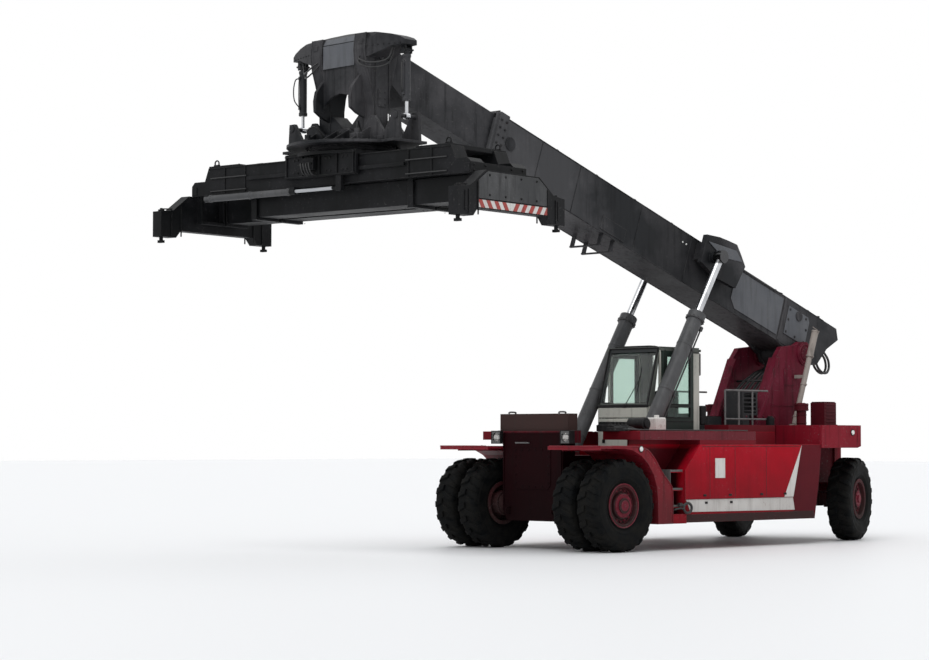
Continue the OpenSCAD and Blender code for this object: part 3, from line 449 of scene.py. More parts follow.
own_finish = {
    "handrails": steel, "exhaust_pipe": exhaust_beige, "chassis_frame": chassis_paint_and_shade,
    "boom_tower": tower_red, "counterweight": weight_paint,
    "cab_shell": patched("cab_paint", paints["cab_cream"], [
        ((-3.3, -0.7, 3.20), (-1.8, 0.7, 3.4), frame_green, 0.004, 0.85),
        ((-2.235, -0.7, 2.30), (-1.8, 0.7, 3.4), frame_green, 0.003, 0.85),
        ((-3.245, -0.545, 1.54), (-1.972, 0.545, 3.29), lining, 0.004, 0.85)]),
    "carriage": patched("carriage_paint_and_highlight", black_paint, [
        # a light band along the side-shift rod: partly its bright steel, partly a painted highlight
        ((3.1, -1.7, 5.392), (5.1, 0.29, 5.449), (0.50, 0.51, 0.53), 0.001, 0.9)]),
    "lamps": patched("lamp_body", lamp_lens, [
        ((0.1, -1, 1.6), (0.2345, 1, 2.0), black, 0.001, 1.0),
        ((0.266, -1, 1.6), (0.4, 1, 2.0), black, 0.001, 1.0)]),
    "outer_boom": patched("boom_paint", paints["boom_grey"], [
        ((-0.9, -1, 2), (3.4, 1, 9), (0.210, 0.206, 0.214), 1.8, 0.6),
        ((-4.2, -1, 2), (-1.9, 1, 9), (0.010, 0.010, 0.011), 0.8, 0.6)])}
for word in ("left", "right"):
    own_finish.update({"mudguard_" + word: fender_red, "tilt_barrel_" + word: tilt_steel,
                       "side_body_" + word: side_paint_and_shade})
    low, high = (Vector(c) - Vector((axle_x, 0, 0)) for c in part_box("lift_rod_" + word))
    around_eye = Vector((0.1, 0.1, 0.1))
    own_finish["lift_rod_" + word] = patched("rod_" + word, chrome,
                                             [(Vector((low.x, low.y, high.z - 0.135)) - around_eye,
                                               high + around_eye, (0.05, 0.05, 0.052), 0.02, 0.95)])
print("zones on", ", ".join(own_finish))

# %% dress the solids
slot_of = {s["node"]: s["material_slot"] for s in frame["record"]["subparts"]}
for name, obj in frame["nodes"].items():
    obj.data.materials.clear()
    obj.data.materials.append(own_finish.get(name, finishes[slot_of[name]]))
print("dressed", len(slot_of), "solids")

# %% [markdown]
# Shape helpers
#
# Heavy plate machines are made of few kinds of parts: blocks with eased edges,
# flat plates cut to an outline, round bars, bent pipes and bolts. Each helper
# makes one kind with bmesh operators inside a bigger mesh, so that many small
# parts of one finish become one piece. They all add to the open mesh bm. Points
# are measured from the front axle, or along the boom, and `keep` moves them to
# their place at the end and opens the next mesh.

# %% shape helpers
machine = Matrix.Translation((axle_x, 0, 0))
boom_pivot = Vector(joints["luff"]["pos_m"])
along = Vector(joints["telescope"]["axis"])
boom_frame = Matrix.Translation(boom_pivot) @ Matrix.Rotation(-math.atan2(along.z, along.x), 4, "Y")
head_frame = Matrix.Translation(joints["head_level"]["pos_m"])
tilt_frame = Matrix.Translation(joints["side_tilt"]["pos_m"])
shift = Vector(joints["side_shift"]["axis"])
slew_at = joints["slew"]["pos_m"]
spread_frame = Matrix.Translation((slew_at[0], 0, 0)) @ Matrix.Rotation(math.atan2(-shift.x, shift.y), 4, "Z")
pieces = {}


def ease(verts, width):
    """Rounds every edge of a new shape a little, as a ground plate edge is."""
    if width:
        edges = {e for v in verts for e in v.link_edges}
        sharp = [e for e in edges if len(e.link_faces) == 2 and e.calc_face_angle(0) > 0.4]
        bmesh.ops.bevel(bm, geom=sharp, offset=width, segments=1, profile=0.5, affect="EDGES", material=-1)


def block(low, high, edge=0.004, turn=None):
    """A box between two corners; turn moves it afterwards."""
    low, high = Vector(low), Vector(high)
    place = Matrix.Translation((low + high) / 2) @ Matrix.Diagonal((*(high - low), 1))
    verts = bmesh.ops.create_cube(bm, size=1, matrix=(turn or Matrix()) @ place)["verts"]
    ease(verts, edge)


def bar(a, b, r, sides=16, end=None, edge=0.0):
    """A round bar from a to b; end is the radius there, for a cone."""
    a, b = Vector(a), Vector(b)
    turn = (b - a).to_track_quat("Z", "Y").to_matrix().to_4x4()
    verts = bmesh.ops.create_cone(bm, cap_ends=True, segments=sides, radius1=r,
                                  radius2=r if end is None else end, depth=(b - a).length,
                                  matrix=Matrix.Translation((a + b) / 2) @ turn)["verts"]
    ease(verts, edge)


def plate(outline, origin, thick, edge=0.0, u=(1, 0, 0), v=(0, 0, 1)):
    """A flat plate: its outline in the directions u and v from origin, thick along u x v."""
    u, v, origin = Vector(u), Vector(v), Vector(origin)
    face = bm.faces.new([bm.verts.new(origin + u * p[0] + v * p[1]) for p in outline])
    far = bmesh.ops.extrude_face_region(bm, geom=[face])["geom"]
    moved = [g for g in far if isinstance(g, bmesh.types.BMVert)]
    bmesh.ops.translate(bm, vec=u.cross(v).normalized() * thick, verts=moved)
    ease(moved, edge)


def ring(centre, axis, r, thick, steps=40, sides=8):
    """A round ring, spun from a small circle."""
    centre, axis = Vector(centre), Vector(axis).normalized()
    out = axis.orthogonal().normalized()
    turn = Matrix((out, axis, out.cross(axis))).transposed().to_4x4()
    place = Matrix.Translation(centre + out * r) @ turn
    made = bmesh.ops.create_circle(bm, segments=sides, radius=thick, matrix=place)
    edges = list({e for v in made["verts"] for e in v.link_edges})
    bmesh.ops.spin(bm, geom=made["verts"] + edges, cent=centre, axis=axis, angle=math.tau, steps=steps,
                   use_merge=True)


def smooth_path(points, steps=6):
    """Points on a soft curve through the given ones."""
    points = [Vector(p) for p in points]
    if len(points) < 3:
        return points
    ends = [points[0] * 2 - points[1]] + points + [points[-1] * 2 - points[-2]]
    path = []
    for a, b, c, d in zip(ends, ends[1:], ends[2:], ends[3:]):
        for k in range(steps):
            t = k / steps
            bend = (a * 2 - b * 5 + c * 4 - d) * t * t + (b * 3 - a - c * 3 + d) * t ** 3
            path.append(b + ((c - a) * t + bend) / 2)
    return path + [points[-1]]


def pipe(points, r, sides=8, steps=6):
    """A pipe that follows a soft curve: a circle extruded from point to point."""
    path = smooth_path(points, steps)
    made = bmesh.ops.create_circle(bm, cap_ends=False, segments=sides, radius=r)["verts"]
    turn = (path[1] - path[0]).to_track_quat("Z", "Y")
    bmesh.ops.transform(bm, matrix=Matrix.Translation(path[0]) @ turn.to_matrix().to_4x4(), verts=made)
    loop = list({e for v in made for e in v.link_edges})
    bmesh.ops.contextual_create(bm, geom=loop)
    for before, here, after in zip(path, path[1:], path[2:] + [path[-1] * 2 - path[-2]]):
        far = bmesh.ops.extrude_edge_only(bm, edges=loop)["geom"]
        verts = [g for g in far if isinstance(g, bmesh.types.BMVert)]
        loop = [g for g in far if isinstance(g, bmesh.types.BMEdge)]
        new_turn = turn.copy()
        new_turn.rotate((turn @ Vector((0, 0, 1))).rotation_difference((after - before).normalized()))
        bend = (new_turn @ turn.inverted()).to_matrix().to_4x4()
        step = Matrix.Translation(here) @ bend @ Matrix.Translation(-before)
        bmesh.ops.transform(bm, matrix=step, verts=verts)
        turn = new_turn
    bmesh.ops.contextual_create(bm, geom=loop)


def circle(count, r, centre, axis=1, first=0.0):
    """Evenly spaced points round a centre; axis 0, 1 or 2 is the direction that the circle faces."""
    across = [k for k in range(3) if k != axis]
    points = []
    for k in range(count):
        point, turn = list(centre), first + k * math.tau / count
        point[across[0]] += r * math.cos(turn)
        point[across[1]] += r * math.sin(turn)
        points.append(point)
    return points


def bolts(places, axis, r=0.016, high=0.016, washer=True):
    """Hexagon heads on washers, standing out along axis."""
    axis = Vector(axis).normalized()
    for p in places:
        if washer:
            bar(Vector(p) - axis * 0.003, Vector(p) + axis * 0.004, r * 1.45, 14)
        bar(p, Vector(p) + axis * high, r, 6, end=r * 0.94)


def mirrored():
    """Adds the other side's copy of all that is in the mesh."""
    copy = bmesh.ops.duplicate(bm, geom=bm.verts[:] + bm.edges[:] + bm.faces[:])["geom"]
    bmesh.ops.scale(bm, vec=(1, -1, 1), verts=[g for g in copy if isinstance(g, bmesh.types.BMVert)])
    bmesh.ops.reverse_faces(bm, faces=[g for g in copy if isinstance(g, bmesh.types.BMFace)])


def keep(name, finish, body="chassis", frame_of=machine, smooth=0.6):
    """Makes the open mesh a piece: in its place, faces outwards, finished, and riding on its body."""
    bmesh.ops.remove_doubles(bm, verts=bm.verts, dist=0.00002)
    bmesh.ops.transform(bm, matrix=frame_of, verts=bm.verts)
    bmesh.ops.recalc_face_normals(bm, faces=bm.faces)
    for face in bm.faces:
        face.smooth = True
    for edge in bm.edges:
        edge.smooth = len(edge.link_faces) == 2 and edge.calc_face_angle(0) < smooth
    obj = linked(name, closed(name))
    obj.data.materials.append(finish)
    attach(obj, body)
    pieces[name] = sum(len(p.vertices) - 2 for p in obj.data.polygons)
    print(name, pieces[name], "triangles")
    return obj


# %% [markdown]
# Tyres
#
# The tyres are heavy cross-country ones: tall rounded walls, and chunky slanted
# lugs in two rows that wrap over the shoulders. The wall is a spun profile.
# A lug is one bevelled block, bent round the wheel and copied with a turn. The
# tread could be a displacement, but real lugs throw real shadows and notch the
# outline.

# %% one tyre
tyre_r, lug_rows, twin_step = 0.725, 20, 0.26
wall = [(0.0, 0.694), (0.12, 0.692), (0.172, 0.686), (0.190, 0.668), (0.203, 0.63), (0.211, 0.60),
        (0.2135, 0.592), (0.2105, 0.584), (0.2145, 0.545), (0.214, 0.51), (0.209, 0.47), (0.200, 0.442),
        (0.204, 0.432), (0.198, 0.420), (0.186, 0.405), (0.168, 0.385), (0.157, 0.368), (0.153, 0.352),
        (0.150, 0.325), (0.0, 0.322)]


def stamp(mesh, where):
    """Adds a copy of a finished mesh at a place."""
    before = len(bm.verts)
    bm.from_mesh(mesh)
    bm.verts.ensure_lookup_table()
    bmesh.ops.transform(bm, matrix=where, verts=bm.verts[before:])


def lug(side):
    """One lug at the top of the wheel: a block cut across, slanted, eased and bent round the tyre."""
    block((-0.058, 0.012, 0.668), (0.058, 0.206, tyre_r), edge=0)
    for cut in (0.10, 0.165, 0.186):
        geom = bm.verts[:] + bm.edges[:] + bm.faces[:]
        bmesh.ops.bisect_plane(bm, geom=geom, plane_co=(0, cut, 0), plane_no=(0, 1, 0))
    for v in bm.verts:
        taper = 0.014 if v.co.z > 0.7 else 0
        v.co.x += (v.co.y - 0.1) * 0.42 - taper * math.copysign(1, v.co.x)
        if v.co.y > 0.17:
            v.co.z -= (v.co.y - 0.165) * (1.5 if v.co.z > 0.7 else 1.9)
    ease(bm.verts[:], 0.007)
    for v in bm.verts:
        turn, high = v.co.x / tyre_r, min(v.co.z, tyre_r)
        v.co = (high * math.sin(turn), v.co.y * side, high * math.cos(turn))
    if side < 0:
        bmesh.ops.reverse_faces(bm, faces=bm.faces)
    return closed("lug")


def tyre_shape():
    """The spun wall, with a row of lugs on each half; the rows are half a step apart."""
    rows = ((lug(1), 0.5), (lug(-1), 0))
    ends = [(y, r) for y, r in wall] + [(-y, r) for y, r in reversed(wall[1:-1])]
    verts = [bm.verts.new((0, y, r)) for y, r in ends]
    edges = [bm.edges.new((a, b)) for a, b in zip(verts, verts[1:] + verts[:1])]
    bmesh.ops.spin(bm, geom=verts + edges, cent=(0, 0, 0), axis=(0, 1, 0), angle=math.tau, steps=72,
                   use_merge=True)
    for one, start in rows:
        for k in range(lug_rows):
            stamp(one, Matrix.Rotation((k + start) * math.tau / lug_rows + math.pi, 4, "Y"))
        bpy.data.meshes.remove(one)
    return closed("tyre_shape")


tyre_pattern = tyre_shape()
print("one tyre", len(tyre_pattern.polygons), "faces")


def wheel_frame(node_name, joint_name):
    """The middle and the turn of a wheel, from its solid's box and its joint."""
    low, high = (Vector(c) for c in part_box(node_name))
    axis = Vector(joints[joint_name]["axis"])
    return Matrix.Translation((low + high) / 2) @ Matrix.Rotation(math.atan2(-axis.x, axis.y), 4, "Z")


# %% tyres on their rims
sides = ((1, "left"), (-1, "right"))
for side, word in sides:
    middle = wheel_frame("front_tyres_" + word, "front_wheels_spin_" + word)
    for y, turn in ((-twin_step, 0.0), (twin_step, 0.09)):
        stamp(tyre_pattern, middle @ Matrix.Translation((0, y, 0)) @ Matrix.Rotation(turn, 4, "Y"))
    tyres = keep("front_tread_" + word, rubber, "front_wheels_" + word, Matrix(), 0.7)
    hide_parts("front_tyres_" + word)
    stamp(tyre_pattern, wheel_frame("rear_tyre_" + word, "rear_wheel_spin_" + word))
    tyre = keep("rear_tread_" + word, rubber, "rear_wheel_" + word, Matrix(), 0.7)
    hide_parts("rear_tyre_" + word)


# %% [markdown]
# Wheel hubs
#
# Each outer rim has a ring of wheel nuts, a bolted hub cover with a drain plug,
# a lock ring at its edge and a valve. The disc behind them is already solid, so
# only these are added, in the same faded red. Nuts are six-sided cones with a
# washer, small enough to repeat freely.

# %% hubs
def hub(face, out, cover, high, nut_ring):
    """Nuts, cover and lock ring on one side of a wheel; face is the disc's plane, out its side."""
    s = math.copysign(1, out)
    bolts(circle(16, nut_ring, (0, face, 0)), (0, s, 0), 0.018, 0.026)
    bar((0, high - s * 0.01, 0), (0, high + s * 0.012, 0), cover, 40, edge=0.004)
    bolts(circle(12, cover - 0.018, (0, high + s * 0.012, 0)), (0, s, 0), 0.009, 0.009, washer=False)
    ring((0, out, 0), (0, 1, 0), 0.338, 0.009, 64)
    ring((0, face + s * 0.004, 0), (0, 1, 0), 0.291, 0.008, 56, 6)
    bar((0.30, face, 0.02), (0.30, out - s * 0.02, 0.03), 0.008, 8)


twin_y = 1.305
for side, word in sides:
    hub(side * (1.650 - twin_y), side * (1.738 - twin_y), 0.185, side * (1.722 - twin_y), 0.246)
    bar((0, side * 0.44, 0), (0, side * 0.463, 0), 0.085, 32, edge=0.005)
    bar((0, side * 0.46, 0), (0, side * 0.470, 0), 0.02, 6)
    keep("front_hub_" + word, rim_paint, "front_wheels_" + word,
         wheel_frame("front_tyres_" + word, "front_wheels_spin_" + word))
    hub(side * 0.090, side * 0.170, 0.140, side * 0.151, 0.222)
    bar((0, side * 0.15, 0), (0, side * 0.19, 0), 0.07, 28, edge=0.006)
    keep("rear_hub_" + word, rim_paint, "rear_wheel_" + word,
         wheel_frame("rear_tyre_" + word, "rear_wheel_spin_" + word))

# %% [markdown]
# Side panels
#
# Both sides carry the same trim: a white stripe under the big cover, which
# turns up into a thin blade at its rear edge, a blank enamel plate, a dark sill,
# panel seams, latches and a hose eye by the steps. Paint could be drawn in the
# material, but a thin slab has a true edge and exports as it is. One side is
# made and mirrored.

# %% stripe, blade and blank plate
sill_y, cover_y = 1.7345, 1.7535
plate([(-1.50, 0.797), (-4.285, 0.797), (-4.335, 0.585), (-1.615, 0.598)], (0, sill_y, 0), 0.006)
plate([(-4.512, 1.664), (-4.030, 0.805), (-4.276, 0.803)], (0, cover_y, 0), 0.005)
plate([(-2.215, 1.455), (-2.465, 1.455), (-2.465, 1.135), (-2.215, 1.135)], (0, cover_y + 0.0035, 0), 0.008,
      0.002)
mirrored()
keep("white_stripe", white_paint)

# %% seams, latches, sill and steps
for x in (-2.085, -2.73, -3.55):
    block((x - 0.004, 1.74, 0.82), (x + 0.004, 1.7512, 1.655), 0)
block((-4.45, 1.74, 1.640), (-1.88, 1.7514, 1.648), 0)
for x in (-1.95, -2.60, -3.42, -4.05):
    block((x - 0.035, 1.745, 0.842), (x + 0.035, 1.762, 0.876), 0.004)
for x in (-2.006, -2.644):
    block((x - 0.030, 1.725, 0.722), (x + 0.030, 1.748, 0.758), 0.005)
mirrored()
keep("panel_seams", dark_trim)
plate([(-1.50, 0.560), (-4.86, 0.560), (-4.885, 0.432), (-1.50, 0.432)], (0, sill_y - 0.001, 0), 0.004)
mirrored()
keep("sill_band", paints["dark_red_paint"])

for z in (0.702, 0.972, 1.262):
    for k in range(9):
        block((-1.815 + k * 0.07, 1.335, z - 0.004), (-1.797 + k * 0.07, 1.655, z + 0.012), 0.002)
    block((-1.835, 1.672, z - 0.02), (-1.19, 1.682, z + 0.014), 0.002)
for x in (-1.845, -1.185):
    block((x - 0.006, 1.30, 0.66), (x + 0.006, 1.68, 1.28), 0.002)
mirrored()
keep("step_treads", steel)

ring((-1.50, 1.772, 0.665), (0.25, 1, 0), 0.078, 0.021, 36, 10)
bar((-1.43, 1.70, 0.72), (-1.36, 1.70, 0.72), 0.03, 12)
pipe([(-1.36, 1.70, 0.70), (-1.44, 1.755, 0.72), (-1.50, 1.775, 0.742)], 0.017, 8)
pipe([(-1.26, 1.62, 0.60), (-1.26, 1.70, 0.64), (-1.35, 1.73, 0.66), (-1.42, 1.76, 0.655)], 0.014, 8)
mirrored()
keep("hose_eye", hose_rubber)

# %% [markdown]
# Lamps on the body
#
# White marker lamps sit on the fender and high on the counterweight, and red
# ones face the rear. Each is a lens over a dark rubber base. The headlamps get
# a fluted lens set back in their square housings.

# %% marker lamps and headlamps
marker_spots = ((-0.392, 1.750, 1.605), (-5.955, 1.750, 1.885))
lens_z, lens_r = 1.79, 0.055
for x, y, z in marker_spots:
    bar((x, y - 0.01, z), (x, y + 0.022, z), 0.046, 24, end=0.036, edge=0.004)
mirrored()
keep("marker_lamps", lamp_lens)
for x, y, z in marker_spots:
    ring((x, y + 0.004, z), (0, 1, 0), 0.048, 0.008, 28, 6)
for z in (1.69, 1.89):
    block((0.17, 0.66, z - 0.006), (0.297, 0.86, z + 0.006), 0.002)
for y in (0.662, 0.858):
    block((0.17, y - 0.006, 1.69), (0.297, y + 0.006, 1.89), 0.002)
for z in (1.75, 1.83):
    pipe([(0.29, 0.665, z), (0.302, 0.69, z), (0.302, 0.83, z), (0.29, 0.855, z)], 0.004, 6, 3)
mirrored()
keep("lamp_housings", dark_trim)
for y in (0.76, -0.76):
    bar((0.262, y, lens_z), (0.276, y, lens_z), 0.068, 32, end=0.056, edge=0.003)
    for k in range(-4, 5):
        across = k * 0.012
        half = math.sqrt(lens_r ** 2 - across ** 2)
        bar((0.277, y + across, lens_z - half), (0.277, y + across, lens_z + half), 0.0035, 6)
keep("headlamp_lenses", lamp_lens)
for y in (0.45, -0.45):
    block((-7.366, y - 0.09, 1.70), (-7.352, y + 0.09, 1.78), 0.003)
keep("tail_lamps", red_lens)

# %% [markdown]
# Front box and fenders
#
# The front box is a welded tank between the twin wheels. It has upright edge
# flanges, a bolted cover, a handle, and a heavy brown beam on top. The fenders
# end in a rolled lip that shines when it is wet.

# %% front box
for y in (-0.64, 0.62):
    block((0.228, y, 0.70), (0.246, y + 0.02, 1.885), 0.003)
block((0.228, -0.64, 1.868), (0.250, 0.64, 1.890), 0.003)
plate([(-0.40, 1.62), (0.40, 1.62), (0.40, 1.02), (0.34, 0.96), (-0.34, 0.96), (-0.40, 1.02)],
      (0.2385, 0, 0), -0.010, 0.003, u=(0, 1, 0))
bolts([(0.238, y, z) for y in (-0.36, 0.36) for z in (1.06, 1.20, 1.34, 1.48, 1.58)] +
      [(0.238, y, z) for y in (-0.22, -0.07, 0.07, 0.22) for z in (1.0, 1.59)], (1, 0, 0), 0.013, 0.011)
for y in (-0.5, 0.5):
    ring((0.27, y, 0.62), (0, 1, 0), 0.05, 0.014, 28, 8)
    block((0.228, y - 0.012, 0.56), (0.262, y + 0.012, 0.68), 0.003)
# the chassis finish gives this trim the front box's painted shade as well
keep("front_box_trim", chassis_paint_and_shade)
pipe([(0.235, -0.33, 1.70), (0.275, -0.32, 1.70), (0.275, -0.08, 1.70), (0.235, -0.07, 1.70)], 0.012, 8, 4)
for y in (-0.55, 0.55):
    pipe([(0.19, y, 2.155), (0.19, y, 2.19), (0.05, y, 2.19), (0.05, y, 2.155)], 0.014, 8, 4)
keep("front_handles", steel)

# %% fender lips and braces
lip = [(0.575, 1.645), (-0.20, 1.645), (-0.36, 1.635), (-0.55, 1.59), (-0.73, 1.44), (-0.89, 1.245),
       (-1.068, 1.075), (-1.152, 0.93), (-1.152, 0.45)]
pipe([(x, 1.750, z) for x, z in lip], 0.012, 8, 3)
pipe([(0.582, 0.70, 1.645), (0.582, 1.20, 1.645), (0.582, 1.745, 1.645)], 0.012, 8, 2)
for y in (0.95, 1.35):
    block((-0.18, y, 1.572), (0.56, y + 0.012, 1.612), 0.002)
mirrored()
keep("fender_lips", fender_red)

# %% [markdown]
# Deck fittings
#
# Left of the cab's front stand a hydraulic valve block with its pipes, an air
# cleaner and a small light box. The deck has raised ribs where it is walked
# on. They are many small shapes of three finishes, so each finish becomes one
# piece.

# %% valve block, pipes and boxes
block((-0.62, 1.00, 1.880), (-0.18, 1.30, 1.985), 0.006)
ports = [-0.572 + k * 0.085 for k in range(5)]
for x in ports:
    block((x - 0.028, 1.02, 1.98), (x + 0.027, 1.28, 2.035), 0.004)
    bar((x, 1.28, 1.95), (x, 1.33, 1.95), 0.018, 12)
bar((-0.98, 1.02, 2.00), (-0.98, 1.36, 2.00), 0.105, 28, edge=0.008)
bar((-0.98, 1.36, 2.00), (-0.98, 1.385, 2.00), 0.06, 20, edge=0.004)
for y in (1.06, 1.30):
    block((-1.07, y, 1.885), (-0.89, y + 0.03, 1.93), 0.003)
block((-0.34, 1.38, 1.885), (0.0, 1.52, 1.945), 0.004)
keep("valve_block", dark_trim)
for k, x in enumerate(ports):
    y, z = 1.50 + k * 0.018, 1.905
    pipe([(x, 1.33, 1.95), (x, 1.40, 1.945), (x - 0.05, y - 0.04, 1.915), (-0.9, y, z), (-1.5, y, z),
          (-2.6, y, z), (-3.28, y, z)], 0.011, 8, 4)
for side in (1, -1):
    pipe([(-0.3, side * 1.0, 1.93), (-0.7, side * 0.95, 1.95), (-1.15, side * 0.93, 1.78),
          (-1.42, side * 0.90, 1.62)], 0.016, 8)
keep("deck_hoses", hose_rubber)
block((-1.52, 1.10, 1.885), (-1.27, 1.32, 2.11), 0.02)
bar((-1.40, 1.21, 2.105), (-1.40, 1.21, 2.15), 0.04, 16, edge=0.004)
keep("washer_box", white_paint)
for side in (1, -1):
    for k in range(16):
        x = -0.50 - k * 0.175
        for j in range(3):
            if side < 0 or x <= -1.6:
                y = side * (1.02 + 0.17 * j)
                slant = math.radians(40 if (k + j) % 2 else -40)
                turn = Matrix.Translation((x, y, 0)) @ Matrix.Rotation(slant, 4, "Z")
                block((-0.055, 0, 1.886), (0.055, side * 0.012, 1.897), 0, turn)
    block((-3.29, side * 1.727 - 0.004, 1.75), (-0.40, side * 1.727 + 0.004, 1.888), 0)
keep("deck_treads", deck_red)

# %% [markdown]
# Cab
#
# The cab stands between the lift cylinders. From outside it is a big sloped
# windscreen over a cream panel, with a dark bar and a wiper between them. The
# doors have a green frame, two panes each and rubber seals. The panes are thin
# slabs that ride on the sliding doors, so they go back with them.

# %% cab panels, seals and wiper
block((-1.958, -0.545, 1.56), (-1.946, 0.545, 2.105), 0.006)
block((-1.958, -0.545, 2.118), (-1.944, 0.545, 2.285), 0.006)
for side in (1, -1):
    block((-2.262, side * 0.562 - 0.006, 1.62), (-2.235, side * 0.562 + 0.006, 3.24), 0.003)
    block((-2.225, side * 0.562 - 0.004, 1.58), (-1.975, side * 0.562 + 0.004, 2.30), 0.004)
keep("cab_panels", paints["cab_cream"])
block((-1.965, -0.555, 2.288), (-1.938, 0.555, 2.338), 0.006)
slope = Vector((-0.29, 0, 0.98)).normalized()
foot = Vector((-1.952, 0.05, 2.335))
for y in (-0.535, 0.535):
    bar(foot + Vector((0, y - 0.05, 0.01)), foot + Vector((0, y - 0.05, 0)) + slope * 0.985, 0.012, 8)
bar(foot + Vector((0.006, -0.585, 0)) + slope * 0.985, foot + Vector((0.006, 0.485, 0)) + slope * 0.985,
    0.012, 8)
bar(foot + Vector((0.012, 0, -0.02)), foot + Vector((0.020, 0.22, 0.0)) + slope * 0.42, 0.007, 8)
bar(foot + Vector((0.010, 0.22, 0)) + slope * 0.22, foot + Vector((0.010, 0.22, 0)) + slope * 0.66, 0.009, 8)
bar(foot + Vector((-0.01, 0, -0.02)), foot + Vector((0.03, 0, -0.02)), 0.03, 16, edge=0.004)
for y in (-0.42, 0.42):
    block((-1.950, y - 0.03, 1.70), (-1.934, y + 0.03, 1.76), 0.004)
for k in range(5):
    block((-1.9475, -0.12, 1.84 + k * 0.035), (-1.938, 0.20, 1.856 + k * 0.035), 0.003)
block((-2.45, -0.46, 3.302), (-2.28, 0.30, 3.325), 0.006)
bar((-2.75, 0.0, 3.30), (-2.75, 0.0, 3.335), 0.07, 24, edge=0.01)
block((-3.272, -0.40, 2.16), (-3.262, 0.40, 2.19), 0.002)
block((-3.272, -0.40, 3.21), (-3.262, 0.40, 3.24), 0.002)
for side in (1, -1):
    block((-3.10, side * 0.625 - 0.008, 1.535), (-2.24, side * 0.625 + 0.008, 1.555), 0.003)
    for x in (-3.20, -2.32):
        bar((x, side * 0.60, 3.235), (x, side * 0.612, 3.235), 0.012, 8)
keep("cab_trim", dark_trim)

# %% door panes, seals and handles
for side, word in sides:
    for low, high in ((2.345, 3.135), (2.125, 2.295)):
        block((-2.955, side * 0.588 - 0.004, low), (-2.365, side * 0.588 + 0.004, high), 0.001)
    keep("door_panes_" + word, shaded_door_glass, "cab_door_" + word)
    for low, high in ((2.34, 3.14), (2.12, 2.30)):
        corners = [(-2.958, low + 0.003), (-2.362, low + 0.003), (-2.362, high - 0.003),
                   (-2.958, high - 0.003)]
        for (x, z), (x1, z1) in zip(corners, corners[1:] + corners[:1]):
            bar((x, side * 0.6125, z), (x1, side * 0.6125, z1), 0.0085, 8)
    block((-3.045, side * 0.613 - 0.003, 2.05), (-2.275, side * 0.613 + 0.003, 2.066), 0.001)
    block((-3.045, side * 0.613 - 0.003, 1.585), (-2.275, side * 0.613 + 0.003, 1.60), 0.001)
    block((-2.350, side * 0.612 - 0.009, 1.90), (-2.300, side * 0.612 + 0.009, 2.02), 0.004)
    handle = [(0.604, 2.42), (0.617, 2.45), (0.617, 2.65), (0.604, 2.68)]
    pipe([(-2.325, side * y, z) for y, z in handle], 0.008, 8, 3)
    keep("door_seals_" + word, dark_trim, "cab_door_" + word)

# %% [markdown]
# Seat and controls
#
# The seat is foam under woven cloth, so it is a crowned cushion with sewn
# channels and a piped edge, not a flat block. Each cushion starts as a finely
# cut box that is pushed part of the way to a ball. Grooves are then sunk along
# the seams, and the piping follows the rounded outline.

# %% cushions
def cushion(low, high, face, seams=(-0.36, 0.0, 0.36), crown=0.30):
    """A crowned pad between two corners; face is the soft side's axis, seams cross its width in thirds."""
    low, high = Vector(low), Vector(high)
    middle, half = (low + high) / 2, (high - low) / 2
    made = bmesh.ops.create_cube(bm, size=2)["verts"]
    bmesh.ops.subdivide_edges(bm, edges=list({e for v in made for e in v.link_edges}), cuts=25,
                              use_grid_fill=True)
    for v in bm.verts:
        x, y, z = v.co
        ball = [p * math.sqrt(max(0, 1 - (q * q + r * r) / 2 + q * q * r * r / 3))
                for p, q, r in ((x, y, z), (y, z, x), (z, x, y))]
        p = v.co.lerp(Vector(ball), crown)
        if v.co[face] > 0.9:
            near = min(abs(y - s) for s in seams)
            p[face] -= 0.16 * math.exp(-(near / 0.05) ** 2)
        v.co = middle + Vector((p.x * half.x, p.y * half.y, p.z * half.z))


for name, low, high, face in (("seat_cushion", (-3.05, -0.25, 1.865), (-2.55, 0.25, 1.995), 2),
                              ("seat_back", (-3.105, -0.24, 1.99), (-2.995, 0.24, 2.61), 0)):
    cushion(low, high, face)
    pad = keep(name, fabric)
    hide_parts("cab_seat")
block((-2.95, -0.15, 1.56), (-2.65, 0.15, 1.60), 0.006)
for k in range(5):
    block((-2.93 + k * 0.006, -0.13, 1.60 + k * 0.046), (-2.67 - k * 0.006, 0.13, 1.632 + k * 0.046), 0.012)
block((-2.96, -0.17, 1.825), (-2.64, 0.17, 1.868), 0.006)
for y in (-0.30, 0.275):
    block((-2.95, y, 2.10), (-2.62, y + 0.045, 2.135), 0.012)
    block((-3.0, y + 0.01, 1.90), (-2.97, y + 0.035, 2.12), 0.006)
bar((-2.66, -0.28, 2.13), (-2.64, -0.28, 2.24), 0.012, 10)
bar((-2.64, -0.28, 2.24), (-2.636, -0.28, 2.30), 0.024, 14, edge=0.006)
seat_frame = keep("seat_frame", dark_trim)
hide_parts("cab_seat")
block((-2.14, -0.49, 1.90), (-2.02, 0.49, 1.985), 0.015)
block((-2.20, -0.30, 1.58), (-2.06, -0.16, 1.91), 0.010)
bar((-2.10, 0.0, 1.56), (-2.34, 0.0, 2.17), 0.035, 16)
wheel_hub = Vector((-2.345, 0.0, 2.185))
ring(wheel_hub, (-0.36, 0, 0.93), 0.185, 0.014, 48, 10)
for k in range(3):
    a = k * math.tau / 3
    out = Vector((0.93 * math.cos(a), math.sin(a), 0.36 * math.cos(a)))
    bar(wheel_hub, wheel_hub + out * 0.18, 0.009, 8)
block((-2.10, -0.50, 2.02), (-2.06, -0.28, 2.20), 0.01)
for y in (-0.12, 0.10):
    block((-2.22, y - 0.05, 1.58), (-2.08, y + 0.05, 1.61), 0.008)
block((-3.21, -0.50, 1.556), (-1.98, 0.50, 1.572), 0.003)
keep("cab_controls", dark_trim)

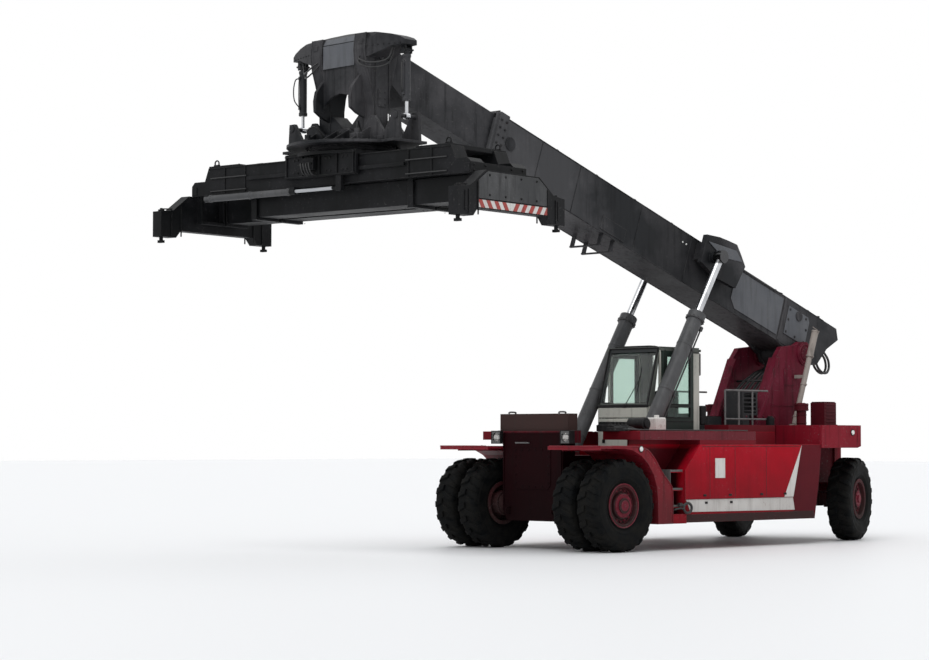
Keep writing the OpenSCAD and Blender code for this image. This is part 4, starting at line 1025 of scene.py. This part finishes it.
# %% [markdown]
# Boom plates and weld beads
#
# The outer boom is a welded box. Thicker plates are laid on its sides where the
# pivot and the cylinders push, and each plate is outlined by a weld bead. Beads
# also run along the box's long edges. Points here are along the boom: x from
# the pivot towards the mouth, z square to it.

# %% boom side plates
def bead(line, y, r=0.009, sides=6, close=True):
    """Round bars along a line of (x, z) on the plane y, as a weld bead or a seal."""
    for (x, z), (x1, z1) in zip(line, line[1:] + (line[:1] if close else [])):
        bar((x, y, z), (x1, y, z1), r, sides)


access = [(-0.16, 0.22), (0.48, 0.22), (0.48, 0.74), (-0.10, 0.74), (-0.16, 0.66)]
doubler = [(0.66, 0.12), (1.90, 0.12), (2.05, 0.26), (2.05, 0.66), (1.90, 0.80), (0.66, 0.80)]
strap = [(4.95, 0.08), (5.55, 0.08), (5.55, 0.30), (4.95, 0.30)]
plate(access, (0, 0.372, 0), 0.013, 0.002)
plate(doubler, (0, 0.370, 0), 0.011, 0.002)
mirrored()
keep("boom_side_plates", light_grey, "outer_boom", boom_frame)
plate(strap, (0, 0.370, 0), 0.011, 0.002)
for outline in (access, doubler, strap):
    bead(outline, 0.362)
for z in (0.036, 0.858):
    bar((-0.55, 0.360, z), (8.08, 0.360, z), 0.010, 6)
block((0.575, 0.358, 0.045), (0.625, 0.380, 0.850), 0.003)
for x in (3.35, 4.70, 6.30, 7.25):
    block((x - 0.006, 0.358, 0.05), (x + 0.006, 0.366, 0.845), 0.002)
bar((0.16, 0.36, 0.66), (0.16, 0.395, 0.66), 0.09, 32, edge=0.008)
bar((7.93, 0.36, 0.50), (7.93, 0.376, 0.50), 0.11, 36, edge=0.005)
access_bolts = ((-0.11, 0.27), (0.16, 0.27), (0.43, 0.27), (-0.11, 0.50), (0.43, 0.50), (-0.05, 0.69),
                (0.43, 0.69))
bolts([(x, 0.374, z) for x, z in access_bolts], (0, 1, 0), 0.017, 0.014)
bolts([(8.14 + 0.115 * j, 0.402, 0.12 + k * 0.13) for j in range(2) for k in range(6)], (0, 1, 0), 0.014,
      0.012)
for x in (5.12, 5.42):
    block((x, 0.25, -0.16), (x + 0.02, 0.34, 0.035), 0.003)
mirrored()
for x in (5.12, 5.42):
    block((x - 0.01, -0.34, -0.175), (x + 0.03, 0.34, -0.155), 0.003)
for x in (-0.3, 1.2, 2.7, 4.2, 5.7, 7.2):
    block((x - 0.02, -0.345, 0.858), (x + 0.02, 0.345, 0.870), 0.003)
keep("boom_welds", paints["boom_grey"], "outer_boom", boom_frame)

# %% lamps, pipes and clamps along the boom
for x in (3.46, 3.56):
    bar((x, 0.364, 0.67), (x, 0.378, 0.67), 0.016, 14, edge=0.003)
mirrored()
keep("boom_reflectors", lamp_lens, "outer_boom", boom_frame)
for y in (0.20, 0.26, -0.23):
    route = ((-0.72, 0.84), (-0.66, 0.895), (0.5, 0.897), (7.7, 0.897), (7.92, 0.905), (8.02, 0.895))
    pipe([(x, y, z) for x, z in route], 0.014, 8, 3)
pipe([(0.75, 0.385, 0.86), (1.0, 0.39, 0.835), (1.9, 0.39, 0.835), (2.2, 0.385, 0.88)], 0.011, 8, 4)
keep("boom_pipes", hose_rubber, "outer_boom", boom_frame)
for k in range(8):
    for low, high in ((0.17, 0.29), (-0.27, -0.19)):
        block((-0.2 + k, low, 0.868), (-0.15 + k, high, 0.916), 0.005)
for x in (8.12, 8.28):
    block((x - 0.012, -0.33, 0.905), (x + 0.012, 0.33, 0.925), 0.003)
keep("boom_clamps", steel, "outer_boom", boom_frame)
saddle_top = [(3.18, 0.83), (2.44, 0.965), (2.22, 0.84), (2.75, 0.71)]
plate(saddle_top, (0, 0.604, 0), 0.012, 0.002)
mirrored()
keep("saddle_plates", light_grey, "outer_boom", boom_frame)

# %% [markdown]
# Lift cylinders
#
# Each lift cylinder has a gland ring with screws, two bands, a hard pipe from
# the foot to the gland, and a grease nipple on its pin. They are drawn in the
# cylinder's own frame, whose z runs along the stroke, and ride on the barrel, so
# they swing with it as the boom rises.

# %% barrels and rods
for side, word in sides:
    stroke = Vector(joints["lift_stroke_" + word]["axis"])
    across = Vector((0, 1, 0))
    turn = Matrix((across.cross(stroke), across, stroke)).transposed().to_4x4()
    lift_frame = Matrix.Translation(joints["lift_foot_" + word]["pos_m"]) @ turn
    for z in (0.42, 1.30, 2.20):
        bar((0, 0, z), (0, 0, z + 0.035), 0.136, 40, edge=0.003)
    bar((0, 0, 2.715), (0, 0, 2.735), 0.160, 40, edge=0.004)
    bolts(circle(12, 0.153, (0, 0, 2.735), 2), (0, 0, 1), 0.013, 0.016)
    bar((0, 0, 2.85), (0, 0, 2.872), 0.112, 32, edge=0.004)
    for y in (-0.098, 0.080):
        bar((0, y, 0), (0, y + 0.018, 0), 0.080, 28, edge=0.004)
    y = side * 0.06
    block((-0.175, y - 0.03, 2.60), (-0.120, y + 0.03, 2.68), 0.004)
    block((-0.175, y - 0.03, 0.30), (-0.120, y + 0.03, 0.40), 0.004)
    pipe([(-0.155, y, z) for z in (0.38, 0.60, 2.45, 2.62)], 0.014, 8, 2)
    for z in (0.435, 1.315, 2.215):
        block((-0.176, y - 0.025, z - 0.015), (-0.130, y + 0.025, z + 0.020), 0.003)
    keep("lift_barrel_trim_" + word, paints["cylinder_grey"], "lift_barrel_" + word, lift_frame)

# %% [markdown]
# Yoke at the boom's nose
#
# The yoke is built from thick plates, so its welds, its pin covers and the
# lighter plate on its front are what the eye catches. The tilt cylinders hang
# from its arms beside thin hoses.

# %% yoke details
plate([(-0.345, -0.16), (0.345, -0.16), (0.345, 0.186), (-0.345, 0.186)], (0.3005, 0, 0), 0.008, 0.002,
      u=(0, 1, 0))
plate([(-0.345, 0.004), (0.345, 0.004), (0.345, 0.112), (-0.345, 0.112)], (0.3005, 0, 0.192), 0.007, 0.002,
      u=(0, 1, 0), v=(-0.514, 0, 0.857))
keep("yoke_front_plates", light_grey, "head_yoke", head_frame)
bar((0, 0.630, 0), (0, 0.668, 0), 0.095, 32, edge=0.006)
bolts(circle(6, 0.068, (0, 0.668, 0)), (0, 1, 0), 0.013, 0.012)
edge_line = [(0.300, 0.30), (0.330, 0.06), (0.300, -0.15), (0.235, -0.35), (0.175, -0.56), (0.145, -0.76),
             (0.14, -1.08)]
for y in (0.362, 0.598):
    bead(edge_line, y, close=False)
for x in (-0.17, 0.10):
    block((x, 0.60, -0.98), (x + 0.02, 0.612, 0.20), 0.003)
block((-0.10, 0.600, -0.78), (0.06, 0.616, -0.52), 0.006)
bolts([(x, 0.616, z) for x in (-0.07, 0.03) for z in (-0.74, -0.65, -0.56)], (0, 1, 0), 0.011, 0.010)
for y in (1.085, 1.205):
    bar((-0.075, y + 0.005, 0.0), (0.075, y + 0.005, 0.0), 0.014, 10)
for x in (-0.085, 0.060):
    bar((x, 1.15, 0.0), (x + 0.025, 1.15, 0.0), 0.042, 20, edge=0.004)
for k in range(7):
    a = 0.62 + k * 0.09
    bolts([(0.12 + (1.24 - a) * 0.29, a, 0.10)], (0.2, 0, -1), 0.010, 0.010)
mirrored()
for x, s in ((0.160, 1), (-0.160, -1)):
    bar((x, 0, -1.18), (x + s * 0.022, 0, -1.18), 0.088, 32, edge=0.005)
    bolts(circle(6, 0.060, (x + s * 0.022, 0, -1.18), 0), (s, 0, 0), 0.012, 0.011)
for y in (-0.34, 0.34):
    block((0.255, y - 0.012, -0.75), (0.292, y + 0.012, 0.22), 0.003)
for y in (-0.5, 0.5):
    block((0.285, y - 0.05, 0.13), (0.330, y + 0.05, 0.21), 0.008)
low_route = ((0.285, 0.42, -0.05), (0.34, 0.50, -0.16), (0.30, 0.72, -0.235), (0.16, 0.93, -0.18),
             (0.10, 1.0, 0.06))
high_route = ((0.285, 0.45, -0.02), (0.36, 0.52, -0.10), (0.32, 0.72, -0.165), (0.18, 0.93, -0.12),
              (0.13, 1.0, 0.07))
keep("yoke_welds", paints["boom_grey"], "head_yoke", head_frame)
for side in (1, -1):
    for route in (low_route, high_route):
        pipe([(x, side * y, z) for x, y, z in route], 0.012)
keep("yoke_hoses", hose_rubber, "head_yoke", head_frame)

# %% tilt cylinders
for side, word in sides:
    y = side * 1.15
    for z in (-0.745, -0.105):
        bar((0, y, z), (0, y, z + 0.045), 0.066, 28, edge=0.003)
    bolts(circle(8, 0.054, (0, y, -0.745), 2, 0.2), (0, 0, -1), 0.007, 0.009, False)
    for z in (-0.66, -0.20):
        block((0.045, y - 0.018, z), (0.085, y + 0.018, z + 0.05), 0.003)
    near = y + side * 0.01
    pipe([(0.07, y, -0.64), (0.078, near, -0.55), (0.078, near, -0.25), (0.07, y, -0.17)], 0.008, 8, 4)
    keep("tilt_barrel_trim_" + word, tilt_steel, "tilt_barrel_" + word, head_frame)
    slack = ((0.085, 0, -0.18), (0.13, 0.03, -0.21), (0.15, 0.05, -0.36), (0.14, 0.04, -0.52),
             (0.085, 0, -0.62))
    pipe([(x, y + side * out, z) for x, out, z in slack], 0.009)
    keep("tilt_hose_" + word, hose_rubber, "tilt_barrel_" + word, head_frame)

# %% [markdown]
# Slewing frame and carriage
#
# The winged frame carries the slewing ring on a round plate, so rings of bolts
# run round both. The carriage below turns with the ring; a light band along its
# side-shift rod is partly the rod's bright steel and partly a painted highlight.

# %% slewing frame
rim = [(x, y, z) for x, y, z in circle(48, 0.90, (0, 0, -0.140), 2)
       if x > -0.72 and abs(x) > 0.35 and abs(abs(y) - 0.93) > 0.02]
bolts(rim, (0, 0, 1), 0.016, 0.018)
for x, s in ((0.222, 1), (-0.222, -1)):
    bar((x, 0, 0), (x + s * 0.020, 0, 0), 0.085, 30, edge=0.004)
    bolts(circle(6, 0.06, (x + s * 0.02, 0, 0), 0), (s, 0, 0), 0.011, 0.010)
    for y in (-1.15, 1.15):
        bar((x, y, 0.21), (x + s * 0.014, y, 0.21), 0.052, 24, edge=0.004)
    for y, y1 in ((0.25, 0.43), (0.69, 0.90), (-0.43, -0.25), (-0.90, -0.69)):
        block((x - 0.002, y, -0.12), (x + s * 0.012, y1, -0.06), 0.003)
for z, thick in ((-0.243, 0.012), (-0.205, 0.010)):
    ring((0, 0, z), (0, 0, 1), 0.66, thick, 72)
bolts(circle(40, 0.70, (0, 0, -0.181), 2), (0, 0, -1), 0.013, 0.014)
for y in (-0.55, 0.55):
    block((0.36, y - 0.09, -0.14), (0.50, y + 0.09, -0.02), 0.008)
    bar((0.43, y, -0.02), (0.43, y, 0.05), 0.045, 20, edge=0.005)
keep("slew_bolts", paints["boom_grey"], "rotator_frame", tilt_frame)
for y in (-0.55, 0.55):
    arch = ((0.43, 1, 0.05), (0.43, 1, 0.12), (0.36, 0.9, 0.17), (0.28, 0.8, 0.10), (0.225, 0.78, 0.02))
    pipe([(x, y * share, z) for x, share, z in arch], 0.012)
keep("slew_hoses", hose_rubber, "rotator_frame", tilt_frame)

# %% carriage
for s in (1, -1):
    for y in (-0.66, -0.34, 0.0, 0.34, 0.66):
        block((s * 0.752 - 0.013, y - 0.010, 5.615), (s * 0.752 + 0.013, y + 0.010, 5.945), 0.002)
    for z in (5.62, 5.925):
        block((s * 0.752 - 0.012, -0.69, z - 0.008), (s * 0.752 + 0.012, 0.69, z + 0.008), 0.002)
    columns = (-0.52, -0.44, -0.20, -0.12, 0.12, 0.20, 0.44, 0.52)
    bolts([(s * 0.741, y, z) for y in columns for z in (5.68, 5.87)], (s, 0, 0), 0.014, 0.014)
block((0.742, -0.28, 5.70), (0.83, -0.06, 5.88), 0.006)
ports = [-0.25 + k * 0.053 for k in range(4)]
for y in ports:
    bar((0.78, y, 5.88), (0.78, y, 5.905), 0.014, 12)
    bar((0.83, y, 5.80), (0.85, y, 5.80), 0.016, 12)
keep("carriage_ribs", black_paint, "carriage", spread_frame)
for y in ports:
    pipe([(0.85, y, 5.80), (0.89, y, 5.79), (0.90, y + 0.02, 5.72), (0.86, y + 0.03, 5.64),
          (0.77, y + 0.03, 5.625)], 0.010, 8, 4)
keep("carriage_hoses", hose_rubber, "carriage", spread_frame)

# %% [markdown]
# Spreader frame, beams and headers
#
# The long boxes carry hydraulic pipes in clamps, end covers with bolts, lifting
# eyes and a pair of junction boxes. The headers have stiffeners, lock
# linkage and a red and white warning band. The band is thin slanted slabs
# on a white strip, so it needs no image.

# %% spreader frame
for s in (1, -1):
    for y in (-2.05, -1.62, 1.62, 2.05):
        block((s * 0.640, y - 0.012, 5.49), (s * 0.640 + s * 0.014, y + 0.012, 5.895), 0.002)
    for z in (5.487, 5.886):
        block((s * 0.644 - 0.010, -2.39, z - 0.007), (s * 0.644 + 0.010, 2.39, z + 0.007), 0.002)
    for y in (-2.70, 2.70):
        block((s * 0.644 - 0.010, y - 0.05, 5.50), (s * 0.644 + 0.010, y + 0.05, 5.62), 0.003)
for s in (1, -1):
    bolts([(x, s * 2.761, z) for x in (-0.56, -0.30, 0.30, 0.56) for z in (5.52, 5.60)], (0, s, 0), 0.014,
          0.014)
    for x in (-0.56, 0.56):
        block((x - 0.012, s * 2.30 - 0.06, 5.924), (x + 0.012, s * 2.30 + 0.06, 5.955), 0.003)
        ring((x, s * 2.30, 5.975), (1, 0, 0), 0.042, 0.011, 24, 8)
bolts([(x, y, 5.925) for x in (-0.58, 0.0, 0.58) for y in (-2.33, -1.81, 1.81, 2.33)], (0, 0, 1), 0.013,
      0.012)
for y in (-1.82, 1.68):
    block((-0.22, y, 5.895), (0.20, y + 0.14, 5.975), 0.008)
for x in (0.05, -0.45):
    for y in (-2.58, -1.40, 1.40, 2.58):
        bolts([(x, y, 5.075), (x + 0.40, y, 5.075)], (0, 0, -1), 0.010, 0.008, False)
keep("spreader_ribs", black_paint, "spreader_frame", spread_frame)
for z in (5.535, 5.735):
    for s in (1, -1):
        for t in (-1, 1):
            pipe([(s * 0.655, t * 2.34, z), (s * 0.660, t * 2.2, z), (s * 0.660, t * 1.58, z)], 0.010, 8, 2)
keep("spreader_pipes", hose_rubber, "spreader_frame", spread_frame)

shift_x, shift_z = 0.70, 5.42
bar((shift_x, -2.395, shift_z), (shift_x, -0.62, shift_z), 0.0515, 32)
for y in (-2.28, -1.45, -0.66):
    bar((shift_x, y - 0.02, shift_z), (shift_x, y + 0.02, shift_z), 0.060, 28, edge=0.003)
keep("shift_cylinder", paints["cylinder_grey"], "spreader_frame", spread_frame)

# %% headers
band_low, band_high, band_half, out = 4.965, 5.075, 0.80, 3.0165
header_grey = painted("header_grey", (0.050, 0.051, 0.053), (0.110, 0.110, 0.112), (0.02, 0.02, 0.02),
                      slot="boom_grey", streaks=0.7, fade=0.8)
warn_red = painted("warning_red", (0.42, 0.07, 0.06), (0.30, 0.09, 0.08), slot="bright_red_paint",
                   streaks=0.5, splash=0.1, edge=0.3)
for s, word in sides:
    turned = spread_frame @ Matrix.Rotation(0 if s > 0 else math.pi, 4, "Z")
    block((-band_half, out - 0.001, band_low), (band_half, out + 0.005, band_high), 0.001)
    keep("warning_band_" + word, white_paint, "spreader_beam_" + word, turned)
    for k in range(9):
        x = -band_half + k * 0.18
        lean = -0.07 if x < 0 else 0.07
        corners = [(x, band_low), (x + 0.09, band_low), (x + 0.09 + lean, band_high), (x + lean, band_high)]
        corners = [(min(max(c, -band_half), band_half), z) for c, z in corners]
        plate(corners, (0, out + 0.0075, 0), 0.004)
    keep("warning_stripes_" + word, warn_red, "spreader_beam_" + word, turned)
    plate([(-0.78, 5.095), (0.78, 5.095), (0.78, 5.350), (0.58, 5.480), (-0.58, 5.480), (-0.78, 5.350)],
          (0, out + 0.008, 0), 0.008, 0.002)
    keep("header_plate_" + word, header_grey, "spreader_beam_" + word, turned)
    for x in (-1.0, -0.80, 0.80, 1.0):
        top = 5.23 if abs(x) > 0.9 else 5.36
        for y in (out - 0.001, out - 0.194):
            block((x - 0.010, y, 4.86), (x + 0.010, y + 0.015, top - 0.03), 0.002)
    bolts([(x, out + 0.008, z) for x in (-0.54, -0.18, 0.18, 0.54) for z in (5.15, 5.43)], (0, 1, 0), 0.013,
          0.012)
    for x in (-1.1295, 1.1295):
        y = out - 0.09
        bar((x, y, 5.225), (x, y, 5.262), 0.050, 24, edge=0.005)
        bar((x, y, 5.262), (x, y, 5.285), 0.022, 6)
        bar((x, y, 5.272), (x * 0.72, 2.90, 5.292), 0.010, 8)
    for x in (-1.065, 1.065):
        block((x - 0.025, out - 0.001, 4.90), (x + 0.025, out + 0.012, 5.18), 0.004)
    keep("header_ribs_" + word, black_paint, "spreader_beam_" + word, turned)

# %% [markdown]
# Rear body
#
# The counterweight carries the air intakes, a seamed cover and the exhaust's
# foot. The exhaust gets clamp rings and a rain cap, the cooler a fan guard and
# hoses, and the tower its weld beads and pin covers.

# %% intakes, exhaust and cooler
intake, cage_r = (-5.50, 1.0), 0.121
for z, r, thick, steps in ((2.05, 0.088, 0.007, 32), (2.19, 0.088, 0.007, 32), (2.28, cage_r, 0.008, 40),
                           (2.365, cage_r, 0.008, 40)):
    ring((*intake, z), (0, 0, 1), r, thick, steps, 6)
for foot in circle(10, cage_r, (*intake, 2.285), 2):
    bar(foot, Vector(foot) + Vector((0, 0, 0.075)), 0.005, 6)
bar((*intake, 2.38), (*intake, 2.40), 0.10, 32, end=0.06, edge=0.004)
block((-6.25, 0.89, 2.41), (-5.93, 1.17, 2.425), 0.005)
for z in (2.06, 2.12, 2.18, 2.24, 2.30, 2.36):
    block((-6.22, 1.180, z), (-5.96, 1.190, z + 0.02), 0.003)
block((-6.104, 1.748, 1.73), (-6.096, 1.754, 2.0), 0)
mirrored()
block((-7.20, -0.60, 2.008), (-6.45, 0.60, 2.024), 0.005)
bolts([(x, y, 2.024) for x in (-7.14, -6.82, -6.51) for y in (-0.54, 0.0, 0.54)], (0, 0, 1), 0.016, 0.012)
for y in (-0.45, 0.45):
    ring((-6.95, y, 2.075), (0, 1, 0), 0.06, 0.016, 28, 8)
keep("intake_trim", weight_paint)
lean = Vector((-math.sin(math.radians(20.5)), 0, math.cos(math.radians(20.5))))
base = Vector((-5.62, 0.75, 2.01))
for along_pipe, r in ((0.15, 0.056), (0.75, 0.056), (1.285, 0.068), (1.755, 0.066)):
    clamp = base + lean * along_pipe
    bar(clamp, clamp + lean * 0.03, r, 28, edge=0.003)
    block(clamp + Vector((-0.012, r - 0.004, 0.0)), clamp + Vector((0.012, r + 0.022, 0.03)), 0.002)
bar(base + lean * 1.79 + Vector((-0.06, 0, 0.01)), base + lean * 1.80 + Vector((0.075, 0, 0.055)), 0.008, 8)
keep("exhaust_clamps", exhaust_beige)
for z in (2.245, 2.32, 2.39, 2.46, 2.535):
    block((-4.825, 0.534, z - 0.004), (-4.485, 0.546, z + 0.004), 0)
fan, guard_r = (-4.655, 0.146, 2.39), 0.165
ring(fan, (0, 1, 0), guard_r, 0.008, 40, 6)
ring(fan, (0, 1, 0), 0.085, 0.006, 32, 6)
for spoke in circle(6, guard_r, fan):
    bar(fan, spoke, 0.005, 6)
pipe([(-4.78, 0.24, 2.19), (-4.98, 0.22, 2.16), (-5.02, 0.20, 2.02), (-5.02, 0.20, 1.90)], 0.030, 10)
block((-4.36, -0.34, 2.148), (-3.99, 0.14, 2.165), 0.006)
for x in (-4.34, -4.10, -3.86, -3.62):
    for y in (-0.556, 0.552):
        block((x, y, 1.50), (x + 0.16, y + 0.006, 1.90), 0.004)
block((-3.47, 0.38, 2.01), (-3.335, 0.545, 2.33), 0.012)
bar((-4.98, 0.72, 1.90), (-4.98, 0.72, 2.14), 0.075, 24, edge=0.008)
bar((-4.98, 0.72, 2.14), (-4.98, 0.72, 2.165), 0.05, 20, edge=0.004)
keep("cooler_trim", dark_trim)

# %% tower
bolts([(-5.35 + k * 0.16, 0.531, 2.16) for k in range(6)], (0, 1, 0), 0.017, 0.015)
pin_x, pin_z = -6.20, 3.28
ring((pin_x, 0.562, pin_z), (0, 1, 0), 0.165, 0.012, 48)
bar((pin_x, 0.555, pin_z), (pin_x, 0.575, pin_z), 0.12, 36, edge=0.005)
bolts(circle(8, 0.085, (pin_x, 0.575, pin_z)), (0, 1, 0), 0.014, 0.012)
plate([(-6.05, 2.35), (-5.25, 2.35), (-5.32, 2.62), (-5.98, 2.62)], (0, 0.538, 0), 0.008, 0.002)
block((-5.90, 0.53, 2.72), (-5.62, 0.545, 3.00), 0.004)
mirrored()
keep("tower_trim", tower_red)

for k in range(6):
    y = -0.25 + k * 0.10
    near = y * 0.9
    pipe([(-4.98, y, 1.96), (-5.06, y, 2.30), (-5.30 - 0.03 * k, y, 2.66), (-5.72, near, 2.93),
          (-6.00, near, 3.02), (-6.09, near, 3.115)], 0.024)
for z, x in ((2.28, -5.06), (2.80, -5.50)):
    bar((x, -0.42, z), (x, 0.42, z), 0.020, 10)
keep("tower_hoses", hose_rubber)

# %% [markdown]
# Tail hoses
#
# Two stiff hydraulic hoses leave fittings low on the boom's tail, hang in a
# loop behind it, and go back in higher up. They swing with the boom, so they
# ride on it.

# %% tail hoses
hose_r, hose_y = 0.022, (0.22, 0.29)
for number, y in enumerate(hose_y, 1):
    loop = [(-6.865, y, 3.170), (-6.93, y, 3.06), (-7.06, y, 2.975), (-7.19, y, 2.975), (-7.255, y, 3.07),
            (-7.235, y, 3.20), (-7.15, y, 3.30), (-7.065, y, 3.362)]
    pipe(loop, hose_r, 12, 8)
    hose = keep(f"tail_hose_{number}", hose_rubber, "outer_boom")
    route = [machine @ p for p in smooth_path(loop, 8)]
for y in hose_y:
    bar((-6.84, y, 3.20), (-6.885, y, 3.135), 0.031, 12, edge=0.003)
    bar((-7.03, y, 3.39), (-7.10, y, 3.335), 0.031, 12, edge=0.003)
for x, z in ((-7.05, 3.95), (-7.32, 3.66)):
    block((x - 0.04, 0.12, z - 0.02), (x + 0.04, 0.22, z + 0.05), 0.006)
keep("tail_fittings", dark_trim, "outer_boom")


# %% [markdown]
#
# The added pieces and their triangles are counted and printed. The visual
# model has to stay inside the solids' box.

# %% finish
print(len(pieces), "pieces,", sum(pieces.values()), "triangles")
